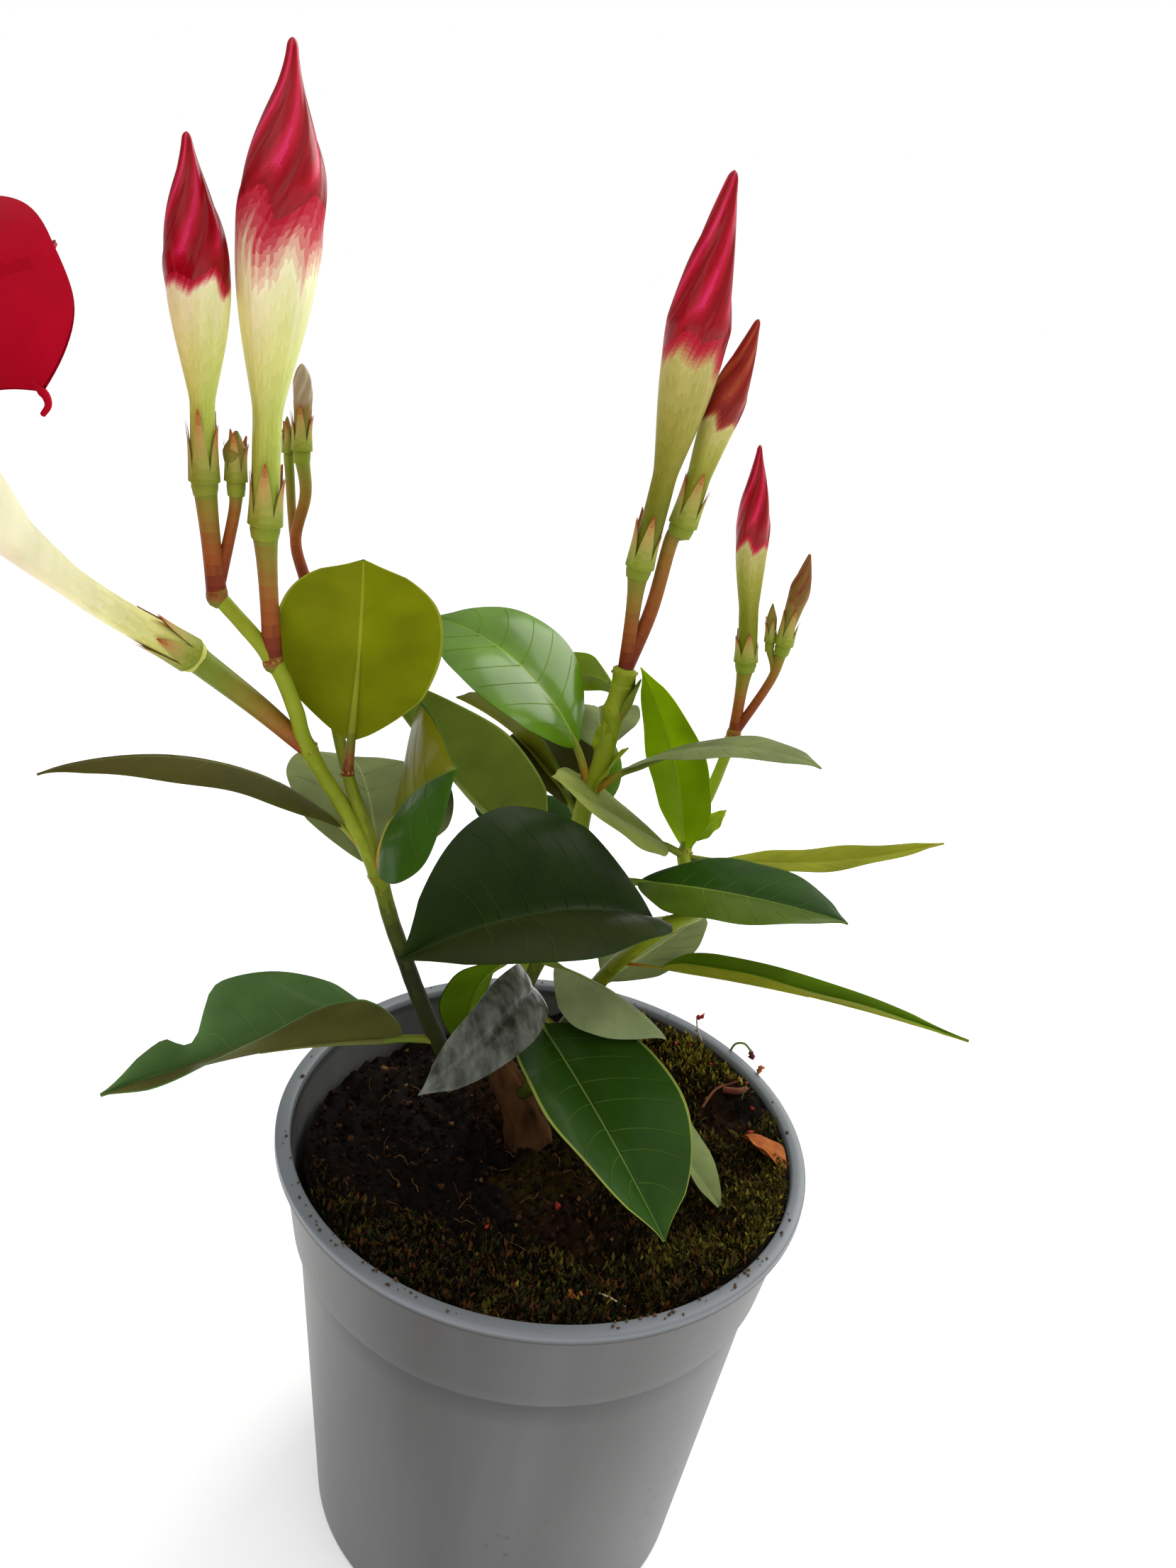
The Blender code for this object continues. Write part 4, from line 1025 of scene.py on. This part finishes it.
def crumbs_piece(rng):
    """Crumbs of peat and bark, and fibres."""
    shape = Shape()
    barks = [paint("crumb_%d" % n, colour, rough=0.9, vary=0.25, scale=700, bump=0.6, spec=0.06)
             for n, colour in enumerate(BARKS)]
    for _ in range(CRUMBS):
        x, y = anywhere(rng, SOIL_REACH * 0.99)
        size = rng.uniform(0.35, 1.2) * (1.5 if rng.random() < 0.1 else 1)
        bark = rng.choices(barks, (10, 5, 3, 8, 0.7))[0]
        crumb(shape, (*outward(x, y), soil_height(x, y) + size * 0.2), size, bark, rng)
    for _ in range(FIBRES):
        spot = anywhere(rng, SOIL_REACH * 0.92)
        fibre(shape, *spot, rng, rng.choice(barks[1:]))
    shape.piece("soil_crumbs", "soil", "soil")


def moss_piece(rng):
    """Cushions of moss with brown leaves among the green: golden tones where the moss is lit, most at the
    back and the right, as painted light, and dark tones where it is dim, as painted shade.
    """
    shape, placed = Shape(), 0
    tones = [paint("moss_%d" % n, colour, rough=0.8, vary=0.2, scale=600, bump=0.2, spec=0.1)
             for n, colour in enumerate(MOSSES)]
    while placed < MOSS_BLADES:
        x, y = anywhere(rng, SOIL_REACH * 0.99)
        if math.hypot(x - TRUNK_FOOT[0], y - TRUNK_FOOT[1]) < 7 or rng.random() > moss_amount(x, y) ** 1.2:
            continue
        # painted light and shade: partly random, and lit more towards the back and the right
        sunny = clamp((y - 12) / 18)
        lit = clamp(0.30 + 1.3 * noise.noise(Vector((x * 0.12, y * 0.12, 4.4))) + (x + 4) / 130 + 0.5 * sunny)
        dim = 1 - lit
        weights = (4, 7 * lit, 20 * lit ** 3 * (0.06 + sunny), 1 + 5 * dim, 1 + 4 * dim, 9 * dim)
        moss_blade(shape, x, y, rng, rng.choices(tones, weights)[0])
        placed += 1
    shape.piece("soil_moss", "soil", "soil")


def crumb(shape, place, size, material, rng):
    """An irregular six-pointed lump."""
    axes = [np.array(v, float) for v in ((1, 0, 0), (-1, 0, 0), (0, 1, 0), (0, -1, 0), (0, 0, 1), (0, 0, -1))]
    turn = np.array(Matrix.Rotation(rng.uniform(0, 6.28), 3, Vector((rng.random(), rng.random(), 1))))
    points = [np.array(place) + turn @ (axis * size * rng.uniform(0.4, 1.0)) for axis in axes]
    faces = [(0, 2, 4), (2, 1, 4), (1, 3, 4), (3, 0, 4), (2, 0, 5), (1, 2, 5), (3, 1, 5), (0, 3, 5)]
    shape.lumps(points, faces, [material] * 8)


def fibre(shape, x, y, rng, material):
    """A root or fibre that lies on the ground."""
    length, turn = rng.uniform(2, 7), rng.uniform(0, 2 * math.pi)
    line, bend = [], rng.uniform(-0.25, 0.25)
    for step in range(6):
        line.append(on_ground(x, y, 0.35 + 0.5 * math.sin(step * 0.7)))
        turn += bend
        x, y = x + math.cos(turn) * length / 5, y + math.sin(turn) * length / 5
    tube(shape, np.array(line), 0.13, material, around=4)


def moss_blade(shape, x, y, rng, material):
    """One tiny pointed leaf of a moss cushion."""
    z = soil_height(x, y) - 0.2
    x, y = outward(x, y)
    turn, lean = rng.uniform(0, 2 * math.pi), rng.uniform(0.1, 0.9)
    size = rng.uniform(0.8, 2.2)
    out = np.array([math.cos(turn), math.sin(turn), 0.0])
    side = np.array([-out[1], out[0], 0.0]) * size * 0.20
    foot = np.array([x, y, z])
    middle = foot + (out * 0.4 * lean + UP * 0.6) * size
    tip = foot + (out * lean + UP) * size
    shape.lumps([foot, middle - side, tip, middle + side], [(0, 1, 2, 3)], [material])


DEAD_LEAF = np.array((46.1, 5.5, 109.2)), np.array((55.3, -4.4, 108.6))        # its two ends
SCALES = {                       # x, y and size of each
    "red_scale": ((5.2, -16.6, 1.6), (49.7, 17.9, 1.3), (31, 40, 1.2), (46, 32, 1.4), (-9, -30, 0.9),
                  (22, 14, 1.0), (48.2, 8.6, 1.8)),
    "dead_leaf": ((10.4, -44.2, 1.6), (11.6, -43.6, 1.6), (9.6, -43.2, 1.6)),
}
NEEDLE = ((13.4, -42.9, 0.8), (17, -44, 1.4), (20.5, -44.6, 0.9))              # x, y, height over the ground
SPRIGS = (                       # radius, colour, colour of the tip, points
    (0.35, "twig", None, [(37.6, 17.9, 106.5), (41.0, 23.6, 108.3), (46.9, 28.0, 108.4),
                          (49.0, 31.2, 108.9)]),
    (0.9, "twig", None, [(43.0, 24.0, 108.0), (46.2, 22.6, 109.2), (48.6, 24.4, 108.8)]),
    (0.2, "straw", "red_scale", [(38.7, 41.7, 108.0), (36.6, 42.7, 111.3), (35.6, 43.2, 115.1),
                                 (36.8, 42.7, 116.1)]),
    (0.3, "sprout_green", "maroon_scale", [(44.9, 38.4, 109.0), (45.9, 38.4, 112.1), (48.2, 38.4, 112.7),
                                           (50.1, 38.4, 110.9), (50.9, 38.4, 109.1)]),
    (0.2, "sprout_green", "dead_leaf", [(51.5, 30.8, 109.0), (52.2, 30.8, 111.5)]),
)
SEEDLINGS = ((40, 30, 4.0), (34, 37, 3.5), (47, 20, 4.2))                      # x, y, height
LITTER = {                       # colour, roughness, variation
    "twig": ((112, 60, 40), 0.8, 0.2), "maroon_scale": ((84, 26, 24), 0.6, 0.2),
    "red_scale": ((170, 48, 34), 0.6, 0.2), "straw": ((196, 186, 150), 0.7, 0.1),
    "sprout_green": ((92, 118, 52), 0.5, 0.2),
}


def litter():
    """What lies on the ground: a dead leaf, red scales, a pale needle, sprouts and crumbs on the rim."""
    rng, shape = random.Random(5), Shape()
    paints = {name: paint(name, colour, rough=rough, vary=vary, scale=400)
              for name, (colour, rough, vary) in LITTER.items()}
    paints["dead_leaf"] = paint("dead_leaf", (206, 122, 58), rough=0.7, second=(160, 82, 36), scale=420,
                                bump=0.4)
    dirt = paint("rim_dirt", (84, 64, 44), rough=0.95, vary=0.3, scale=700, bump=0.6)
    dead_leaf(shape, paints["dead_leaf"])
    for name, above in (("red_scale", 0.5), ("dead_leaf", 0.6)):
        for x, y, size in SCALES[name]:
            crumb(shape, on_ground(x, y, above), size, paints[name], rng)
    tube(shape, np.array([on_ground(*spot) for spot in NEEDLE]), [0.2, 0.25, 0.12], paints["straw"], around=6)
    for radius, colour, tip, line in SPRIGS:
        line = smooth_line(np.array(line), 4)
        tube(shape, line, radius, paints[colour], around=6)
        if tip:
            end, back = line[-1], unit(line[-1] - line[-4])
            crumb(shape, end, 1.4, paints[tip], rng)
            crumb(shape, end - back * 1.1, 1.3, paints[tip], rng)
    for x, y, tall in SEEDLINGS:
        base = np.array(on_ground(x, y))
        lean = np.array([rng.uniform(-0.4, 0.4), rng.uniform(-0.4, 0.4), 1.0])
        tube(shape, np.array([base, base + lean * tall * 0.6, base + lean * tall]), [0.18, 0.15, 0.13],
             paints["sprout_green"], around=5)
        crumb(shape, base + lean * tall, 0.6, paints["red_scale"], rng)
    for _ in range(RIM_CRUMBS):
        turn = rng.choice((rng.gauss(-2.2, 0.25), rng.gauss(-0.9, 0.25), rng.uniform(0, 6.28)))
        away = RIM_RADIUS - rng.uniform(1.0, 4.0)
        inside = away - (RIM_RADIUS - 3.1)
        height = POT_HEIGHT + (0.15 if inside > 0 else inside * 4 - 1)
        crumb(shape, (away * math.cos(turn), away * math.sin(turn), height), rng.uniform(0.2, 0.7), dirt, rng)
    shape.piece("soil_litter", "soil", "soil")


def dead_leaf(shape, material):
    """The dry leaf by the rim: two blades that stand up from a bent spine like a boat."""
    first, last = DEAD_LEAF
    t, v = np.linspace(0, 1, 18)[:, None], np.linspace(0, 1, 7)[None]
    half = 4.4 * np.sin(np.pi * np.clip(t * 0.92 + 0.03, 0, 1)) ** 0.8
    side = square_to(unit(last - first))[0]
    spine = first + (last - first) * t + UP * (0.8 * np.sin(3 * t) + 0.3 * np.sin(11 * t))
    reach = (half * v + 0.25 * np.sin(8 * t + 3 * v))[..., None]
    fold = (half * v * (1.1 - 0.4 * v) + 0.3 * np.sin(13 * t) * v)[..., None]
    for sign, spread in ((-1, 0.9), (1, 0.5)):
        shape.sheet(lambda lift: (spine[:, None] + side * sign * spread * reach
                                  + UP * (fold * (1.3 - spread) + lift)), 0.1 * sign, material)


# ---------------------------------------------------------------- pot
def pot_piece():
    """The pot's moulded wall, turned with rounded edges and drilled at the foot."""
    step, ledge = POT_HEIGHT - COLLAR_DEPTH, POT_HEIGHT - COLLAR_DEPTH - COLLAR_LEDGE
    under_lip, lip_foot = RIM_RADIUS - LIP_OVERHANG, POT_HEIGHT - LIP_DEPTH
    inner = lambda z: BODY_FOOT_RADIUS + (BODY_TOP_RADIUS - BODY_FOOT_RADIUS) * z / step - WALL
    profile = [
        (under_lip - WALL + EDGE, POT_HEIGHT), (RIM_RADIUS - EDGE, POT_HEIGHT),
        (RIM_RADIUS - EDGE * 0.3, POT_HEIGHT - EDGE * 0.3), (RIM_RADIUS, POT_HEIGHT - EDGE),
        (RIM_RADIUS, lip_foot + EDGE), (RIM_RADIUS - EDGE, lip_foot),
        (under_lip + EDGE, lip_foot - 0.1), (under_lip, lip_foot - EDGE),
        (COLLAR_FOOT_RADIUS + 0.1, step + EDGE * 1.2), (COLLAR_FOOT_RADIUS - EDGE, step),
        (BODY_TOP_RADIUS + EDGE * 0.4, ledge + EDGE * 0.6), (BODY_TOP_RADIUS, ledge - EDGE),
        (BODY_FOOT_RADIUS, 1.4), (BODY_FOOT_RADIUS - 0.4, 0.4), (BODY_FOOT_RADIUS - 1.4, 0),
        (0, 0), (0, FLOOR), (inner(FLOOR), FLOOR), (inner(ledge), ledge),
        (COLLAR_FOOT_RADIUS - WALL, step), (under_lip - WALL, POT_HEIGHT - EDGE),
        (under_lip - WALL + EDGE, POT_HEIGHT),
    ]
    mesh = bpy.data.meshes.new("pot_wall")
    edges = [(n, n + 1) for n in range(len(profile) - 1)]
    mesh.from_pydata([(r * MM, 0, z * MM) for r, z in profile], edges, [])
    item = added("pot_wall", mesh)
    screw = item.modifiers.new("turn", "SCREW")
    screw.steps = screw.render_steps = 144
    screw.use_merge_vertices, screw.merge_threshold = True, 0.05 * MM
    bake(item)
    shape = bmesh.new()
    shape.from_mesh(item.data)
    bmesh.ops.remove_doubles(shape, verts=shape.verts, dist=0.01 * MM)
    bmesh.ops.recalc_face_normals(shape, faces=shape.faces)
    shape.to_mesh(item.data)
    shape.free()
    drills = bpy.data.collections.new("drills")
    bpy.context.scene.collection.children.link(drills)
    for number in range(DRAIN_HOLES):
        x, y, _ = heading(360 * (number + 0.5) / DRAIN_HOLES, 0) * DRAIN_RING * MM
        bpy.ops.mesh.primitive_cylinder_add(vertices=32, radius=DRAIN_RADIUS * MM, depth=4 * FLOOR * MM,
                                            location=(x, y, FLOOR * MM / 2))
        drill = bpy.context.object
        for owner in list(drill.users_collection):
            owner.objects.unlink(drill)
        drills.objects.link(drill)
    cut = item.modifiers.new("drill", "BOOLEAN")
    cut.operation, cut.operand_type, cut.collection = "DIFFERENCE", "COLLECTION", drills
    bake(item)
    for drill in list(drills.objects):
        bpy.data.objects.remove(drill, do_unlink=True)
    bpy.data.collections.remove(drills)
    item.data.materials.clear()
    item.data.materials.append(pot_paint())
    item.data.shade_smooth()
    item.data.set_sharp_from_angle(angle=math.radians(50))
    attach(item, "root")
    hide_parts("pot")


def bake(item):
    """Turns an object's modifiers into its mesh."""
    mesh = bpy.data.meshes.new_from_object(item.evaluated_get(bpy.context.evaluated_depsgraph_get()))
    item.modifiers.clear()
    item.data = mesh


def pot_paint():
    """Grey moulded plastic: faint upright streaks, a lighter, bluer lip as a painted highlight, painted shade
    under the collar's ledge and under the lip, a painted highlight along the collar's foot, specks low down.
    """
    made = paint("pot_plastic", (54, 52, 50), rough=0.36, second=(88, 88, 88), scale=34,
                 stretch=(1, 1, 0.07), bump=0.10, grain=500, spec=0.4)
    tree = made.node_tree
    shader = tree.nodes["Principled BSDF"]
    place = node(tree, "TexCoord", "Object")
    height = node(tree, "SeparateXYZ", "Z", {"Vector": place})
    shadow = node(tree, "ValToRGB", "Color", {"Fac": maths(tree, "DIVIDE", height, POT_HEIGHT * MM)})
    step = (POT_HEIGHT - COLLAR_DEPTH) / POT_HEIGHT
    # painted shade below the collar's ledge and under the lip, and a painted highlight along the collar's
    # foot
    stops = [(0.0, 1.0), (step - 0.075, 1.0), (step - 0.012, 0.42), (step - 0.001, 0.42),
             (step + 0.004, 1.25), (step + 0.03, 1.0), (0.965, 1.0), (0.976, 0.5)]
    bands = shadow.node.color_ramp.elements
    while len(bands) < len(stops):
        bands.new(0.5)
    for band, (spot, value) in zip(bands, stops):
        band.position, band.color = spot, (value, value, value, 1)
    colour = blended(tree, 1.0, shader.inputs["Base Color"].links[0].from_socket, shadow, "MULTIPLY")
    # a lighter, bluer band round the top of the lip, as a painted highlight
    lip = ranged(tree, height, (POT_HEIGHT - 1.8) * MM, (POT_HEIGHT - 0.9) * MM)
    colour = blended(tree, lip, colour, solid((122, 127, 132)))
    dots = ranged(tree, node(tree, "TexVoronoi", "Distance", {"Vector": place, "Scale": 300}), 0.22, 0.14)
    some = ranged(tree, node(tree, "TexNoise", "Fac", {"Vector": place, "Scale": 45}), 0.52, 0.60)
    low_down = ranged(tree, height, 84 * MM, 40 * MM)
    specks = maths(tree, "MULTIPLY", maths(tree, "MULTIPLY", dots, some), low_down)
    feed(tree, shader, {"Base Color": blended(tree, specks, colour, solid((70, 56, 44)))})
    return made


# ---------------------------------------------------------------- the plant
def trunk_piece():
    """The woody stem with ridged bark, flaring into the ground."""
    shape = Shape()
    line = trunk_line()
    foot_way = unit(line[1] - line[0])
    line = np.concatenate([[line[0] - foot_way * 0.3], line])
    gone = lengths(line) / lengths(line)[-1]
    radii = np.interp(gone, np.linspace(0, 1, 3), TRUNK_RADII)
    fine = resample(line, np.linspace(0, lengths(line)[-1], 60))
    rows = np.interp(np.linspace(0, 1, 60), gone, radii)

    def ridges(row, angle):
        spot = Vector((math.cos(angle) * 2.2, math.sin(angle) * 2.2, row * 0.05))
        return 1 + 0.07 * noise.fractal(spot, 0.8, 2.2, 4) + 0.03 * math.sin(angle * 9 + row * 0.08)

    bark = paint("bark", (52, 32, 18), rough=0.85, second=(104, 70, 40), scale=300, stretch=(1, 1, 0.25),
                 bump=0.7, grain=1400, spec=0.1)
    tube(shape, fine, rows, bark, around=56, relief=ridges)
    shape.piece("trunk_bark", "bark", "trunk")


def plant():
    """Grows the shoots, then the leaves, buds and the open flower from their nodes."""
    trunk_piece()
    stems = {name: Shape() for pieces in PIECES.values() for name, _ in pieces}
    stems["leaf_low_left"] = Shape()
    for shoot in SHOOTS:
        stems_of(shoot, stems)
    line = smooth_line(walk(NODES["left_1"], INNER_STEPS))
    radii = np.linspace(*INNER_RADII, len(line))
    tube(stems["foliage_left"], line, radii, lambda row, column: pick_shade(run("stem"), 0.65, row, column))
    node_ring(stems["foliage_left"], line, radii, NODES["inner_2"])
    leaves, blooms = {name: Shape() for name in LEAVES}, {name: Shape() for name in BUDS}
    for name, group in LEAVES.items():
        for sizes in group:
            leaf_piece(leaves[name], sizes)
    for number, (name, group) in enumerate(BUDS.items()):
        for place, sizes in enumerate(group):
            bud_piece(blooms[name], stems[name], sizes, number * 1.7 + place * 2.3)
    flower_piece(blooms["blooms_left"], stems["blooms_left"])
    bracts(stems)
    for kind, slot, shapes in (("twigs", "stem", stems), ("leaves", "leaf", leaves),
                               ("flowers", "petal", blooms)):
        for name, shape in shapes.items():
            if shape.count:
                shape.piece("%s_%s" % (name, kind), slot, name)


def bracts(stems):
    """Small red and green scales where flower stalks branch."""
    for at, owner, azimuth in (("left_6", "blooms_left", -10), ("left_5", "blooms_left", 30),
                               ("right_6", "blooms_right", -40), ("middle_6", "blooms_middle", 60),
                               ("middle_6", "blooms_middle", -80), ("inner_4", "foliage_left", 170)):
        knuckle(stems[owner], NODES[at], 1.3 if at == "inner_4" else 1.8)
        bract_piece(stems[owner], NODES[at], azimuth, 62, 3.0, 1.2, "russet")
    for number in range(4):
        bract_piece(stems["foliage_middle"], NODES["middle_5"] + np.array([1.5, -1.2, -2.0 + number]),
                    -40 + 50 * number, 56, 9.5, 3.0, "fresh")


# ---------------------------------------------------------------- floor, lights and camera
WHITE = (1.0, 1.0, 1.0, 1.0)
FLOOR_SIZE = 60                  # m
FLOOR_GLOW = 0.32                # keeps the far floor as white as the sky behind it
SKY_BY_HEIGHT, SKY_ACROSS = (0.25, 1.3), (0.6, 1.3)    # strength low and high, at the left and at the right
AIM = Vector((0, 0, 0.18))                             # m, where the lights point
WINDOW = Vector(heading(50, 34) * 1.3) + AIM
LIGHTS = (                       # name, place, size in m, watts, colour
    ("window", WINDOW, 0.95, 10.0, (1.0, 0.99, 0.96)),
    ("fill", Vector((-0.5, -1.0, 0.9)), 1.0, 2.4, (1.0, 1.0, 1.0)),
)
LENS = 27.03                     # mm, on a sensor 36 mm wide
EYE = (-0.0013, -0.2193, 0.2856)                       # m
EYE_RIGHT, EYE_UP, EYE_BACK = (0.9899, 0.0546, 0.1312), (-0.1421, 0.3801, 0.9140), (0.0, -0.9233, 0.3840)


def stage():
    """A plain pale floor, soft light from all round, one window behind the plant and the camera."""
    bpy.ops.mesh.primitive_plane_add(size=FLOOR_SIZE)
    floor = bpy.context.object
    floor.name = "floor"
    white = paint("floor_white", (244, 244, 244), rough=0.9, vary=0.004, scale=3, bump=0.0)
    feed(white.node_tree, white.node_tree.nodes["Principled BSDF"],
         {"Emission Color": WHITE, "Emission Strength": FLOOR_GLOW})
    floor.data.materials.append(white)
    sky()
    for name, spot, size, watts, colour in LIGHTS:
        light = bpy.data.lights.new(name, "AREA")
        light.size, light.energy, light.color = size, watts, colour
        lamp = added(name, light)
        lamp.location = spot
        lamp.rotation_euler = (AIM - spot).to_track_quat("-Z", "Y").to_euler()
    camera = bpy.data.cameras.new("camera")
    camera.sensor_width, camera.lens, camera.clip_start = 36.0, LENS, 0.01
    eye = added("camera", camera)
    eye.matrix_world = Matrix.Translation(EYE) @ Matrix((EYE_RIGHT, EYE_UP, EYE_BACK)).transposed().to_4x4()
    bpy.context.scene.camera = eye
    bpy.context.scene.view_settings.view_transform = "Standard"


def sky():
    """Light from all round, strongest from above and from the right; the camera sees plain white."""
    world = bpy.data.worlds.new("studio")
    bpy.context.scene.world = world
    world.use_nodes = True
    tree = world.node_tree
    ways = node(tree, "SeparateXYZ", "Z", {"Vector": node(tree, "TexCoord", "Generated")}).node.outputs
    strength = maths(tree, "MULTIPLY", ranged(tree, ways["Z"], 0.2, 1.0, *SKY_BY_HEIGHT),
                     ranged(tree, ways["X"], -1.0, 1.0, *SKY_ACROSS))
    lit = tree.nodes["Background"]
    feed(tree, lit, {"Color": WHITE, "Strength": strength})
    seen = node(tree, "Background", "Background", {"Color": WHITE})
    either = node(tree, "MixShader", "Shader", {"Fac": node(tree, "LightPath", "Is Camera Ray"),
                                                1: lit.outputs["Background"], 2: seen})
    feed(tree, tree.nodes["World Output"], {"Surface": either})


pot_piece()
ground_piece()
grit = random.Random(11)
crumbs_piece(grit)
moss_piece(grit)
litter()
plant()
stage()
